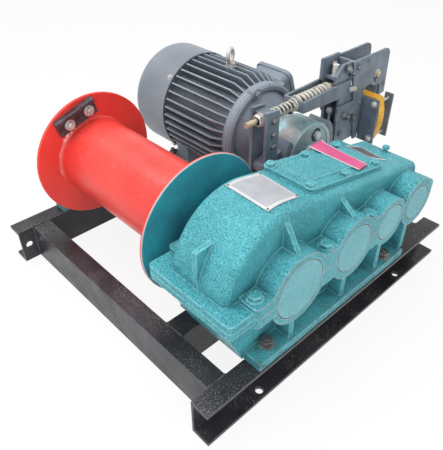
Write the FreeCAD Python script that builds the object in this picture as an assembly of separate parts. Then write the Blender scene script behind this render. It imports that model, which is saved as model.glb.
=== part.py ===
import FreeCAD
import Part
import math
import os

# Electric mooring winch on a welded channel frame: rope drum, three-stage gearbox,
# finned motor and an electromagnetic shoe brake on the coupling between the two.
# Row frame in mm: origin on the floor at the middle of the foundation bolt pattern,
# +X along the drum axis towards the gearbox, +Y towards the motor side, +Z up.

# ---- driving dimensions -------------------------------------------------------------
# Frame of rolled channel
FRAME_LENGTH = 862.0
FRAME_WIDTH = 812.0
CHANNEL_HEIGHT = 100.0
CHANNEL_FLANGE = 48.0
CHANNEL_WEB = 5.3
CHANNEL_FLANGE_THICKNESS = 8.0
FOUNDATION_SPACING_X = 778.0
FOUNDATION_SPACING_Y = 534.0
FOUNDATION_HOLE_RADIUS = 9.0
LASHING_HOLE_RADIUS = 10.0
LASHING_HOLE_INSET = 22.0
FRONT_MEMBER_INSET = 44.0
GEARBOX_BEAM_X = 196.0
GEARBOX_BEAM_WIDTH = 55.0
GEARBOX_BEAM_WALL = 6.0

# Shaft line and drum
AXIS_Z = 266.0
DRUM_Y = -182.0
DRUM_FLANGE_RADIUS = 170.6
DRUM_BARREL_RADIUS = 104.0
DRUM_BARREL_WALL = 10.0
DRUM_FLANGE_THICKNESS = 8.0
DRUM_LEFT_INNER_X = -313.4
DRUM_RIGHT_INNER_X = 113.9
DRUM_SHAFT_RADIUS = 32.0
DRUM_HUB_RADIUS = 52.0
DRUM_HUB_LENGTH = 20.0
WELD_LEG = 5.5
SHAFT_CLEARANCE = 0.05
ROPE_CLAMP_LENGTH = 118.0
ROPE_CLAMP_HEIGHT = 46.0
ROPE_CLAMP_THICKNESS = 7.0
ROPE_CLAMP_LIP = 20.0
ROPE_CLAMP_GAP = 6.0
ROPE_CLAMP_ANGLE = 18.7
ROPE_CLAMP_BOLT_SPACING = 62.0
ROPE_CLAMP_BOLT_SHIFT = 6.0
ROPE_CLAMP_BOLT_HEIGHT = 17.0
ROPE_CLAMP_BOLT_RADIUS = 8.0

# Pedestal bearing at the free end of the drum
PEDESTAL_WIDTH = 44.0
PEDESTAL_FOOT_LENGTH = 214.0
PEDESTAL_FOOT_THICKNESS = 20.0
PEDESTAL_HOUSING_RADIUS = 60.0
PEDESTAL_EAR_LENGTH = 88.0
PEDESTAL_EAR_THICKNESS = 16.0
PEDESTAL_WAIST_MARGIN = 12.0
PEDESTAL_FOOT_RISE = 8.0
PEDESTAL_THROAT_DROP = 24.0
PEDESTAL_WEB = 16.0

# Gearbox
GEARBOX_CENTRE_X = 277.0
GEARBOX_WALL_WIDTH = 158.0
GEARBOX_FOOT_WIDTH = 252.0
GEARBOX_FOOT_THICKNESS = 21.0
GEARBOX_FOOT_FRONT_Y = -284.0
GEARBOX_FOOT_REAR_Y = 239.0
GEARBOX_END_RADIUS = 157.0
GEARBOX_TOP_SLOPE = 11.2
GEARBOX_SMALL_END_Y = 312.0
GEARBOX_SMALL_END_ROUND = 26.0
GEARBOX_EDGE_ROUND = 14.0
PARTING_FLANGE_WIDTH = 240.0
PARTING_FLANGE_THICKNESS = 16.0
PARTING_FLANGE_OVERHANG = 25.0
PARTING_CORNER_ROUND = 12.0
BOSS_LENGTH = 49.5
SHAFT_STEPS = (176.8, 134.8, 114.2)
BOSS_RADII = (81.0, 74.5, 58.5, 60.9)
CAP_RADII = (65.5, 56.0, 43.4, 42.9)
CAP_THICKNESS = 12.0
CAP_GROOVE = 1.6
BODY_RIB_THICKNESS = 14.0
BODY_RIB_INSET = 12.0
BODY_FRONT_RAKE = 50.0
BODY_REAR_RAKE = 80.0
BODY_REAR_DEPTH = 90.0
BODY_SIDE_DEPTH = 60.0
BOSS_WEB_HALF_HEIGHT = 42.0
BOSS_RIB_THICKNESS = 12.0
BOSS_RIB_REACH = 35.0
BOSS_RIB_LEDGE = 6.0
END_RIB_REACH = 152.0
END_RIB_HEIGHT = 105.0
CORNER_PAD_LENGTH = 40.0
CORNER_PAD_START_Y = -305.0
CORNER_PAD_HEIGHT = 25.0
INSPECTION_CENTRE_X = 267.0
INSPECTION_LENGTH = 269.0
INSPECTION_WIDTH = 134.0
INSPECTION_THICKNESS = 9.0
INSPECTION_CORNER = 14.0
INSPECTION_START_Y = -84.0
INSPECTION_RAISED_MARGIN = 27.0
INSPECTION_RAISED_HEIGHT = 3.0
BREATHER_RADIUS = 9.0
BREATHER_HEIGHT = 16.0
BREATHER_INSET_Y = 28.0

# Motor
MOTOR_BODY_RADIUS = 128.0
MOTOR_FIN_RADIUS = 156.0
MOTOR_FIN_THICKNESS = 4.0
MOTOR_FIN_COUNT = 40
MOTOR_FIN_SLOPE = 40.0
MOTOR_BODY_START_X = -372.0
MOTOR_BODY_END_X = -112.0
MOTOR_COWL_RADIUS = 158.0
MOTOR_COWL_START_X = -526.0
MOTOR_COWL_END_X = -364.0
MOTOR_COWL_ROUND = 48.0
MOTOR_COWL_WALL = 3.0
MOTOR_SHIELD_RADIUS = 138.0
MOTOR_SHIELD_THICKNESS = 20.0
MOTOR_NOSE_RADIUS = 62.0
MOTOR_NOSE_X = -30.0
MOTOR_FOOT_SPACING_Y = 254.0
MOTOR_FOOT_FRONT_X = -112.0
MOTOR_FOOT_SPACING_X = 254.0
MOTOR_FOOT_LEG_INSET = 48.0
MOTOR_FOOT_LEG_LENGTH = 48.0
MOTOR_FOOT_WIDTH = 62.0
MOTOR_FOOT_PAD_END = 22.0
MOTOR_FOOT_THICKNESS = 20.0
MOTOR_SHIM = 6.0
MOTOR_FOOT_HOLE_RADIUS = 7.5
MOTOR_FOOT_LEG_DROP = 62.0
MOTOR_FOOT_LEG_SPLAY = 6.0
MOTOR_FIN_START = 14.0
MOTOR_UNDERSIDE_ANGLE = 38.0
MOTOR_BOX_ANGLE = 20.0
MOTOR_SHIELD_LUG_ANGLE = 17.0
MOTOR_SHIELD_LUG_RADIUS = 15.0
TERMINAL_BOX_LENGTH = 140.0
TERMINAL_BOX_WIDTH = 104.0
TERMINAL_BOX_HEIGHT = 44.0
TERMINAL_BOX_X = -212.0
TERMINAL_BOX_ANGLE = 70.0
TERMINAL_BOX_CORNER = 22.0
TERMINAL_LID_THICKNESS = 12.0
TERMINAL_LID_OVERHANG = 4.0
TERMINAL_SEAT_MARGIN = 8.0
LIFTING_EYE_X = -232.0
LIFTING_EYE_RING = 19.5
LIFTING_EYE_WIRE = 5.5
LIFTING_EYE_TURN = 25.0
LIFTING_EYE_COLLAR = 13.0
LIFTING_EYE_COLLAR_HEIGHT = 10.0

# Brake wheel and shafts
WHEEL_X = 42.0
WHEEL_RADIUS = 85.0
WHEEL_WIDTH = 80.0
WHEEL_RIM = 11.0
WHEEL_WEB = 40.0
WHEEL_RECESS = 2.0
WHEEL_HUB_RADIUS = 26.0
WHEEL_HUB_REACH = 8.0
INPUT_SHAFT_RADIUS = 19.0
MOTOR_SHAFT_RADIUS = 21.0
COUPLING_RADIUS = 74.0
COUPLING_THICKNESS = 18.0
COUPLING_GAP = 3.0
COUPLING_PIN_CIRCLE = 50.0
COUPLING_PIN_RADIUS = 8.0
COUPLING_PIN_COUNT = 3
COUPLING_PIN_START = -24.0
COUPLING_BUSH_RADIUS = 20.0
COUPLING_BUSH_RECESS = 4.0
COUPLING_NUT_RADIUS = 12.0
COUPLING_NUT_HEIGHT = 11.0

# Shoe brake
LINING_GAP = 0.3
LINING_THICKNESS = 6.0
SHOE_THICKNESS = 14.0
SHOE_WIDTH = 70.0
SHOE_HALF_ANGLE = 36.0
ARM_OFFSET = 147.0
ARM_DEPTH = 46.0
ARM_GAP = 40.0
ARM_PLATE = 8.0
ARM_BLOCK_HALF = 16.0
ARM_TOP_Z = 432.0
ARM_PIN_Z = 136.0
ARM_PIN_RADIUS = 10.0
SHOE_PIN_RADIUS = 9.0
SIDE_PLAY = 0.5
BRAKE_BASE_WIDTH = 96.0
BRAKE_BASE_THICKNESS = 12.0
BRAKE_BASE_OVERHANG = 38.0
BRAKE_LUG_HALF = 24.0
BRAKE_LUG_RADIUS = 22.0
ARM_STUD_RISE = 62.0
ARM_PIN_PROUD = 6.0
SHOE_EYE_RADIUS = 18.0
SPRING_ROD_Z = 406.0
SPRING_ROD_RADIUS = 7.0
SPRING_ROD_FRONT = 66.0
SPRING_ROD_LENGTH = 355.0
YOKE_FRONT_Y = 204.0
YOKE_THICKNESS = 6.0
YOKE_HEIGHT = 30.0
YOKE_HOLE_PLAY = 2.5
RELEASE_SPRING_RADIUS = 14.5
RELEASE_SPRING_WIRE = 2.7
RELEASE_SPRING_TURNS = 6
RELEASE_SEAT_THICKNESS = 5.0
MAIN_SPRING_RADIUS = 20.0
MAIN_SPRING_WIRE = 4.2
MAIN_SPRING_TURNS = 7
MAIN_SEAT_THICKNESS = 8.0
MAIN_CAP_LENGTH = 13.0
SPRING_SEAT_PLAY = 0.3
ROD_TRAVEL = 8.0
ROD_SIDE_PLAY = 3.2
SPRING_WIRE_SIDES = 10
SPRING_NUT_INSET = 37.0
ARM_HEAD_TOP_Z = 484.0
ARM_HEAD_FRONT_Y = 340.0
ARM_HEAD_NEAR_TOP_Z = 474.0
ARM_HEAD_NEAR_FRONT_Y = 368.0
TRUNNION_Y = 365.0
TRUNNION_Z = 424.0
TRUNNION_RADIUS = 7.0

# Electromagnet on the rear arm
MAGNET_PLATE_REAR_Y = 474.0
MAGNET_PLATE = 6.0
MAGNET_TOP_Z = 474.0
MAGNET_BOTTOM_Z = 226.0
MAGNET_STRIP_TOP_Y = 402.0
MAGNET_STRIP_BOTTOM_Y = 457.0
MAGNET_FLAG_REAR_Y = 580.0
MAGNET_FLAG_CORNER = 12.0
MAGNET_LEG_FOOT_Z = 338.0
MAGNET_LEG_WIDTH = 20.0
MAGNET_TAB_FRONT_Y = 356.0
MAGNET_TAB_BOTTOM_Z = 317.0
MAGNET_TAB_TOP_Z = 358.0
COIL_HALF_WIDTH = 97.0
COIL_BULGE = 14.0
COIL_BOTTOM_Z = 234.0
COIL_TOP_Z = 366.0
COIL_REAR_Y = 512.0
COIL_FLAG_CLEARANCE = 6.0
CORE_LEG_BOTTOM_Z = 266.0
CORE_LEG_TOP_Z = 322.0
CLAMP_REAR_Y = 545.0
CLAMP_OUTER = 89.0
CLAMP_CLEARANCE = 1.0
CLAMP_REAR_INNER = 62.0
CLAMP_THICKNESS = 5.0
CLAMP_BOTTOM_Z = 224.0
CLAMP_TOP_Z = 358.0
CLAMP_ROD_INSET = 14.0
TIE_ROD_RADIUS = 4.0
TIE_ROD_PROUD = 6.0
ARMATURE_GAP = 4.0
ARMATURE_THICKNESS = 14.0
ARMATURE_PIN_Y = 528.0
ARMATURE_PIN_Z = 394.0
ARMATURE_PIN_RADIUS = 7.0

# ---- places that follow from the sizes above ---------------------------------------
RAIL_WEB_X = FRAME_WIDTH / 2 - CHANNEL_FLANGE
FRAME_FRONT_Y = -FRAME_LENGTH / 2
FRONT_MEMBER_Y = FRAME_FRONT_Y + FRONT_MEMBER_INSET
REAR_MEMBER_Y = -FRONT_MEMBER_Y
SHAFT_YS = [DRUM_Y]
for step in SHAFT_STEPS:
    SHAFT_YS.append(SHAFT_YS[-1] + step)
MOTOR_Y = SHAFT_YS[-1]
GEARBOX_INNER_X = GEARBOX_CENTRE_X - GEARBOX_WALL_WIDTH / 2
GEARBOX_OUTER_X = GEARBOX_CENTRE_X + GEARBOX_WALL_WIDTH / 2
FRONT_ARM_Y = MOTOR_Y - ARM_OFFSET
REAR_ARM_Y = MOTOR_Y + ARM_OFFSET
SPRING_ROD_FRONT_Y = FRONT_ARM_Y - SPRING_ROD_FRONT
MOTOR_BEAM_Y = MOTOR_Y - MOTOR_FOOT_SPACING_Y / 2
WHEEL_NEAR_X = WHEEL_X + WHEEL_WIDTH / 2
WHEEL_FAR_X = WHEEL_X - WHEEL_WIDTH / 2
ARM_OUTER = ARM_GAP / 2 + ARM_PLATE
ARM_REAR_Y = REAR_ARM_Y + ARM_DEPTH / 2
SPRING_NUT_Y = SPRING_ROD_FRONT_Y + SPRING_ROD_LENGTH - SPRING_NUT_INSET
BEYOND = 1000.0

os.makedirs("parts", exist_ok=True)


# ---- shared shapes ----------------------------------------------------------------
def save(name, shape):
    shape.exportStep("parts/" + name + ".step")


def box(x0, x1, y0, y1, z0, z1):
    return Part.makeBox(x1 - x0, y1 - y0, z1 - z0, FreeCAD.Vector(x0, y0, z0))


def cylinder_x(x0, x1, y, z, radius):
    return Part.makeCylinder(radius, x1 - x0, FreeCAD.Vector(x0, y, z), FreeCAD.Vector(1, 0, 0))


def cylinder_y(y0, y1, x, z, radius):
    return Part.makeCylinder(radius, y1 - y0, FreeCAD.Vector(x, y0, z), FreeCAD.Vector(0, 1, 0))


def cylinder_z(z0, z1, x, y, radius):
    return Part.makeCylinder(radius, z1 - z0, FreeCAD.Vector(x, y, z0), FreeCAD.Vector(0, 0, 1))


def face_of(points):
    closed = list(points) + [points[0]]
    return Part.Face(Part.makePolygon(closed))


def prism_x(outline, x0, x1):
    """Outline in Y and Z, extruded along X."""
    face = face_of([FreeCAD.Vector(x0, y, z) for y, z in outline])
    return face.extrude(FreeCAD.Vector(x1 - x0, 0, 0))


def prism_y(outline, y0, y1):
    """Outline in X and Z, extruded along Y."""
    face = face_of([FreeCAD.Vector(x, y0, z) for x, z in outline])
    return face.extrude(FreeCAD.Vector(0, y1 - y0, 0))


def revolve_x(profile, y, z):
    """Profile of (x, radius) points turned about the line through y, z along X."""
    face = face_of([FreeCAD.Vector(x, y, z + radius) for x, radius in profile])
    return face.revolve(FreeCAD.Vector(0, y, z), FreeCAD.Vector(1, 0, 0), 360)


def fuse(shapes):
    body = shapes[0].multiFuse(shapes[1:])
    return body.removeSplitter()


def turned(shape, y, z, angle):
    """Copy turned about the line through y, z along X."""
    copy = shape.copy()
    copy.rotate(FreeCAD.Vector(0, y, z), FreeCAD.Vector(1, 0, 0), angle)
    return copy


def channel_section(height, flange, web, thickness):
    """Outline of a channel with its web at zero and its flanges pointing to plus."""
    return [(0, 0), (flange, 0), (flange, thickness), (web, thickness + 1.5),
            (web, height - thickness - 1.5), (flange, height - thickness),
            (flange, height), (0, height)]


CHANNEL = channel_section(CHANNEL_HEIGHT, CHANNEL_FLANGE, CHANNEL_WEB, CHANNEL_FLANGE_THICKNESS)


# ---- welded frame -----------------------------------------------------------------
def rail(side):
    outline = [(side * (RAIL_WEB_X + across), up) for across, up in CHANNEL]
    body = prism_y(outline, FRAME_FRONT_Y, FRAME_FRONT_Y + FRAME_LENGTH)
    for end in (-1, 1):
        hole_x = side * FOUNDATION_SPACING_X / 2
        hole_y = end * FOUNDATION_SPACING_Y / 2
        body = body.cut(cylinder_z(-1, CHANNEL_HEIGHT / 2, hole_x, hole_y, FOUNDATION_HOLE_RADIUS))
    return body


def left_rail():
    hole = cylinder_x(-RAIL_WEB_X - CHANNEL_FLANGE, -RAIL_WEB_X + 1,
                      FRAME_FRONT_Y + LASHING_HOLE_INSET, CHANNEL_HEIGHT / 2, LASHING_HOLE_RADIUS)
    return rail(-1).cut(hole)


def crossmember(web_y, direction):
    outline = [(web_y + direction * across, up) for across, up in CHANNEL]
    return prism_x(outline, -RAIL_WEB_X, RAIL_WEB_X)


def gearbox_beam():
    half = GEARBOX_BEAM_WIDTH / 2
    front = FRONT_MEMBER_Y + CHANNEL_FLANGE
    rear = REAR_MEMBER_Y - CHANNEL_FLANGE
    tube = box(GEARBOX_BEAM_X - half, GEARBOX_BEAM_X + half, front, rear, 0, CHANNEL_HEIGHT)
    inside = box(GEARBOX_BEAM_X - half + GEARBOX_BEAM_WALL, GEARBOX_BEAM_X + half - GEARBOX_BEAM_WALL,
                 front - 1, rear + 1, GEARBOX_BEAM_WALL, CHANNEL_HEIGHT - GEARBOX_BEAM_WALL)
    return tube.cut(inside)


def motor_beam():
    start = MOTOR_BEAM_Y - CHANNEL_FLANGE / 2
    outline = [(start + across, up) for across, up in CHANNEL]
    return prism_x(outline, -RAIL_WEB_X, GEARBOX_BEAM_X - GEARBOX_BEAM_WIDTH / 2)


save("left_rail", left_rail())
save("right_rail", rail(1))
save("front_crossmember", crossmember(FRONT_MEMBER_Y, 1))
save("rear_crossmember", crossmember(REAR_MEMBER_Y, -1))
save("gearbox_beam", gearbox_beam())
save("motor_beam", motor_beam())


# ---- pedestal bearing ---------------------------------------------------------------
PEDESTAL_X = -RAIL_WEB_X - CHANNEL_FLANGE / 2


def pedestal_bore():
    return cylinder_x(PEDESTAL_X - PEDESTAL_WIDTH, PEDESTAL_X + PEDESTAL_WIDTH, DRUM_Y, AXIS_Z,
                      DRUM_SHAFT_RADIUS + SHAFT_CLEARANCE)


def drum_pedestal():
    """Lower half of the bearing block: a waisted column with a pocket in each side."""
    half = PEDESTAL_WIDTH / 2
    foot_half = PEDESTAL_FOOT_LENGTH / 2
    foot_top = CHANNEL_HEIGHT + PEDESTAL_FOOT_THICKNESS
    root_z = foot_top + PEDESTAL_FOOT_RISE
    waist = PEDESTAL_HOUSING_RADIUS + PEDESTAL_WAIST_MARGIN
    throat = PEDESTAL_HOUSING_RADIUS - 2
    ear = PEDESTAL_EAR_LENGTH
    ear_bottom = AXIS_Z - PEDESTAL_EAR_THICKNESS
    throat_z = ear_bottom - PEDESTAL_THROAT_DROP
    outline = [(-foot_half, CHANNEL_HEIGHT), (foot_half, CHANNEL_HEIGHT), (foot_half, foot_top), (waist, root_z),
               (throat, throat_z), (ear, ear_bottom), (ear, AXIS_Z), (-ear, AXIS_Z), (-ear, ear_bottom),
               (-throat, throat_z), (-waist, root_z), (-foot_half, foot_top)]
    body = prism_x([(DRUM_Y + y, z) for y, z in outline], PEDESTAL_X - half, PEDESTAL_X + half)
    border = 2 * PEDESTAL_WAIST_MARGIN
    pocket_top = throat_z - border
    pocket_outline = [(border - waist, root_z), (waist - border, root_z), (throat - border, pocket_top),
                      (border - throat, pocket_top)]
    pocket_outline = [(DRUM_Y + y, z) for y, z in pocket_outline]
    for x0, x1 in ((PEDESTAL_X - half - 1, PEDESTAL_X - PEDESTAL_WEB / 2),
                   (PEDESTAL_X + PEDESTAL_WEB / 2, PEDESTAL_X + half + 1)):
        body = body.cut(prism_x(pocket_outline, x0, x1))
    return body.cut(pedestal_bore())


def pedestal_cap():
    half = PEDESTAL_WIDTH / 2
    ring = cylinder_x(PEDESTAL_X - half, PEDESTAL_X + half, DRUM_Y, AXIS_Z, PEDESTAL_HOUSING_RADIUS)
    upper = box(PEDESTAL_X - half, PEDESTAL_X + half, DRUM_Y - PEDESTAL_EAR_LENGTH,
                DRUM_Y + PEDESTAL_EAR_LENGTH, AXIS_Z, AXIS_Z + 2 * PEDESTAL_HOUSING_RADIUS)
    ears = box(PEDESTAL_X - half, PEDESTAL_X + half, DRUM_Y - PEDESTAL_EAR_LENGTH,
               DRUM_Y + PEDESTAL_EAR_LENGTH, AXIS_Z, AXIS_Z + PEDESTAL_EAR_THICKNESS)
    return fuse([ring.common(upper), ears]).cut(pedestal_bore())


save("drum_pedestal", drum_pedestal())
save("pedestal_cap", pedestal_cap())


# ---- drum ---------------------------------------------------------------------------
def drum_barrel():
    start = DRUM_LEFT_INNER_X
    end = DRUM_RIGHT_INNER_X
    outer = DRUM_BARREL_RADIUS
    inner = DRUM_BARREL_RADIUS - DRUM_BARREL_WALL
    profile = [(start, inner), (start, outer + WELD_LEG), (start + WELD_LEG, outer),
               (end - WELD_LEG, outer), (end, outer + WELD_LEG), (end, inner)]
    return revolve_x(profile, DRUM_Y, AXIS_Z)


def drum_flange(inner_x, direction):
    bore = DRUM_SHAFT_RADIUS
    outer_x = inner_x + direction * DRUM_FLANGE_THICKNESS
    hub_x = outer_x + direction * DRUM_HUB_LENGTH
    profile = [(inner_x, bore), (inner_x, DRUM_FLANGE_RADIUS - 2), (inner_x + direction * 2, DRUM_FLANGE_RADIUS),
               (outer_x - direction * 2, DRUM_FLANGE_RADIUS), (outer_x, DRUM_FLANGE_RADIUS - 2),
               (outer_x, DRUM_HUB_RADIUS), (hub_x, DRUM_HUB_RADIUS - 3), (hub_x, bore)]
    return revolve_x(profile, DRUM_Y, AXIS_Z)


def drum_shaft():
    start = PEDESTAL_X - PEDESTAL_WIDTH / 2
    end = GEARBOX_CENTRE_X
    profile = [(start, 0), (start, DRUM_SHAFT_RADIUS - 3), (start + 3, DRUM_SHAFT_RADIUS),
               (end - 3, DRUM_SHAFT_RADIUS), (end, DRUM_SHAFT_RADIUS - 3), (end, 0)]
    return revolve_x(profile, DRUM_Y, AXIS_Z)


def rope_clamp():
    bottom = DRUM_BARREL_RADIUS + ROPE_CLAMP_GAP
    top = bottom + ROPE_CLAMP_HEIGHT
    half = ROPE_CLAMP_LENGTH / 2
    x0 = DRUM_LEFT_INNER_X
    x1 = x0 + ROPE_CLAMP_THICKNESS
    plate = box(x0, x1, DRUM_Y - half, DRUM_Y + half, AXIS_Z + bottom, AXIS_Z + top)
    lip = box(x0, x0 + ROPE_CLAMP_LIP, DRUM_Y - half, DRUM_Y + half,
              AXIS_Z + top - ROPE_CLAMP_THICKNESS, AXIS_Z + top)
    pieces = [plate, lip]
    for side in (-1, 1):
        bolt_y = DRUM_Y + ROPE_CLAMP_BOLT_SHIFT + side * ROPE_CLAMP_BOLT_SPACING / 2
        pieces.append(cylinder_x(x1 - 1, x1 + 8, bolt_y, AXIS_Z + bottom + ROPE_CLAMP_BOLT_HEIGHT,
                                 ROPE_CLAMP_BOLT_RADIUS))
    return turned(fuse(pieces), DRUM_Y, AXIS_Z, ROPE_CLAMP_ANGLE)


save("drum_barrel", drum_barrel())
save("drum_left_flange", drum_flange(DRUM_LEFT_INNER_X, -1))
save("drum_gear_flange", drum_flange(DRUM_RIGHT_INNER_X, 1))
save("drum_shaft", drum_shaft())
save("rope_clamp", rope_clamp())


# ---- gearbox ------------------------------------------------------------------------
def slope_height(y):
    """Height of the cover's sloping top, which leaves the round end as a tangent."""
    slope = math.radians(GEARBOX_TOP_SLOPE)
    rise = GEARBOX_END_RADIUS / math.cos(slope)
    return AXIS_Z + rise - (y - DRUM_Y) * math.tan(slope)


def arc_edge(start, middle, end):
    return Part.Arc(start, middle, end).toShape()


def gearbox_cover_outline(x):
    """Side view of the cover: round end, tangent sloping top, rounded small end."""
    slope = math.radians(GEARBOX_TOP_SLOPE)
    radius = GEARBOX_END_RADIUS
    corner = GEARBOX_SMALL_END_ROUND
    end_y = GEARBOX_SMALL_END_Y

    def point(y, z):
        return FreeCAD.Vector(x, y, z)

    def on_end(angle):
        return point(DRUM_Y + radius * math.sin(angle), AXIS_Z + radius * math.cos(angle))

    front = on_end(-math.pi / 2)
    tangent = on_end(slope)
    corner_y = end_y - corner
    centre_z = slope_height(corner_y) - corner / math.cos(slope)
    turn_start = point(corner_y + corner * math.sin(slope), centre_z + corner * math.cos(slope))
    middle_angle = (slope + math.pi / 2) / 2
    turn_middle = point(corner_y + corner * math.sin(middle_angle), centre_z + corner * math.cos(middle_angle))
    turn_end = point(end_y, centre_z)
    rear = point(end_y, AXIS_Z)
    edges = [arc_edge(front, on_end((slope - math.pi / 2) / 2), tangent),
             Part.makeLine(tangent, turn_start), arc_edge(turn_start, turn_middle, turn_end),
             Part.makeLine(turn_end, rear), Part.makeLine(rear, front)]
    return Part.Face(Part.Wire(edges))


def rounded_box(x0, x1, y0, y1, z0, z1, radius):
    """Box with its four upright edges rounded."""
    block = box(x0, x1, y0, y1, z0, z1)
    upright = [edge for edge in block.Edges if abs(edge.tangentAt(edge.FirstParameter).z) > 0.9]
    return block.makeFillet(radius, upright)


def parting_flange(z0, z1):
    half = PARTING_FLANGE_WIDTH / 2
    return rounded_box(GEARBOX_CENTRE_X - half, GEARBOX_CENTRE_X + half,
                       DRUM_Y - GEARBOX_END_RADIUS - PARTING_FLANGE_OVERHANG,
                       GEARBOX_SMALL_END_Y + PARTING_FLANGE_OVERHANG, z0, z1, PARTING_CORNER_ROUND)


def bosses():
    """Bearing bosses that run right through, joined by flat webs between the first three."""
    inner = GEARBOX_INNER_X - BOSS_LENGTH
    outer = GEARBOX_OUTER_X + BOSS_LENGTH
    shapes = []
    for y, radius in zip(SHAFT_YS, BOSS_RADII):
        shapes.append(cylinder_x(inner, outer, y, AXIS_Z, radius))
    shapes.append(box(inner, outer, SHAFT_YS[0], SHAFT_YS[2], AXIS_Z - BOSS_WEB_HALF_HEIGHT,
                      AXIS_Z + BOSS_WEB_HALF_HEIGHT))
    return shapes


def cap_seats():
    """Recesses for the caps and the bores for the two shafts that come out."""
    shapes = []
    for y, radius in zip(SHAFT_YS, CAP_RADII):
        outer = GEARBOX_OUTER_X + BOSS_LENGTH
        inner = GEARBOX_INNER_X - BOSS_LENGTH
        shapes.append(cylinder_x(outer - CAP_THICKNESS, outer + 1, y, AXIS_Z, radius + CAP_GROOVE))
        shapes.append(cylinder_x(inner - 1, inner + CAP_THICKNESS, y, AXIS_Z, radius + CAP_GROOVE))
    shapes.append(cylinder_x(GEARBOX_INNER_X - BOSS_LENGTH - 1, GEARBOX_CENTRE_X + 1, DRUM_Y, AXIS_Z,
                             DRUM_SHAFT_RADIUS + SHAFT_CLEARANCE))
    shapes.append(cylinder_x(GEARBOX_INNER_X - BOSS_LENGTH - 1, GEARBOX_CENTRE_X + 1, MOTOR_Y, AXIS_Z,
                             INPUT_SHAFT_RADIUS + SHAFT_CLEARANCE))
    return shapes


def half_space(z0, z1):
    return box(-BEYOND, BEYOND, -BEYOND, BEYOND, z0, z1)


def boss_rib(index, side):
    """Thin triangular rib that stands on a boss and leans on the cover's wall."""
    y = SHAFT_YS[index]
    wall = GEARBOX_WALL_WIDTH / 2
    foot = AXIS_Z + BOSS_RADII[index] - 2
    tip = slope_height(y) - GEARBOX_EDGE_ROUND - BOSS_RIB_LEDGE
    outline = [(wall - 2, foot), (wall + BOSS_RIB_REACH, foot), (wall + BOSS_RIB_REACH, foot + BOSS_RIB_LEDGE),
               (wall, tip), (wall - 2, tip)]
    outline = [(GEARBOX_CENTRE_X + side * across, up) for across, up in outline]
    return prism_y(outline, y - BOSS_RIB_THICKNESS / 2, y + BOSS_RIB_THICKNESS / 2)


def end_rib():
    """Upright web on the round end, from the parting flange up to a short ledge."""
    outer = DRUM_Y - END_RIB_REACH - BOSS_RIB_LEDGE
    shell = DRUM_Y - GEARBOX_END_RADIUS * 0.6
    top = AXIS_Z + END_RIB_HEIGHT
    base = AXIS_Z + PARTING_FLANGE_THICKNESS - 1
    outline = [(outer + 2 * BOSS_RIB_LEDGE, base), (outer, base), (outer, top), (shell, top + BOSS_RIB_LEDGE),
               (shell, base)]
    return prism_x(outline, GEARBOX_CENTRE_X - BOSS_RIB_THICKNESS / 2, GEARBOX_CENTRE_X + BOSS_RIB_THICKNESS / 2)


def corner_pads(z0, z1):
    """Bolt pads beside the first boss, out to the face of the bosses."""
    pads = []
    reach = GEARBOX_WALL_WIDTH / 2 + BOSS_LENGTH
    for side in (-1, 1):
        ends = sorted((GEARBOX_CENTRE_X + side * (reach - CORNER_PAD_LENGTH - PARTING_CORNER_ROUND),
                       GEARBOX_CENTRE_X + side * reach))
        pads.append(rounded_box(ends[0], ends[1], CORNER_PAD_START_Y, CORNER_PAD_START_Y + 2 * CORNER_PAD_LENGTH,
                                z0, z1, PARTING_CORNER_ROUND))
    return pads


def gearbox_shell():
    """Cover without its flange, its two long edges rounded over."""
    shell = gearbox_cover_outline(GEARBOX_INNER_X).extrude(FreeCAD.Vector(GEARBOX_WALL_WIDTH, 0, 0))
    rims = []
    for edge in shell.Edges:
        bounds = edge.BoundBox
        if bounds.XLength < 1 and bounds.ZMax > AXIS_Z + 1:
            rims.append(edge)
    return shell.makeFillet(GEARBOX_EDGE_ROUND, rims)


def gearbox_cover():
    pieces = [gearbox_shell(), parting_flange(AXIS_Z, AXIS_Z + PARTING_FLANGE_THICKNESS), end_rib()]
    pieces += corner_pads(AXIS_Z, AXIS_Z + CORNER_PAD_HEIGHT)
    upper = half_space(AXIS_Z, BEYOND)
    for boss in bosses():
        pieces.append(boss.common(upper))
    for index in (0, 1):
        for side in (-1, 1):
            pieces.append(boss_rib(index, side))
    body = fuse(pieces)
    for seat in cap_seats():
        body = body.cut(seat)
    return body


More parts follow.
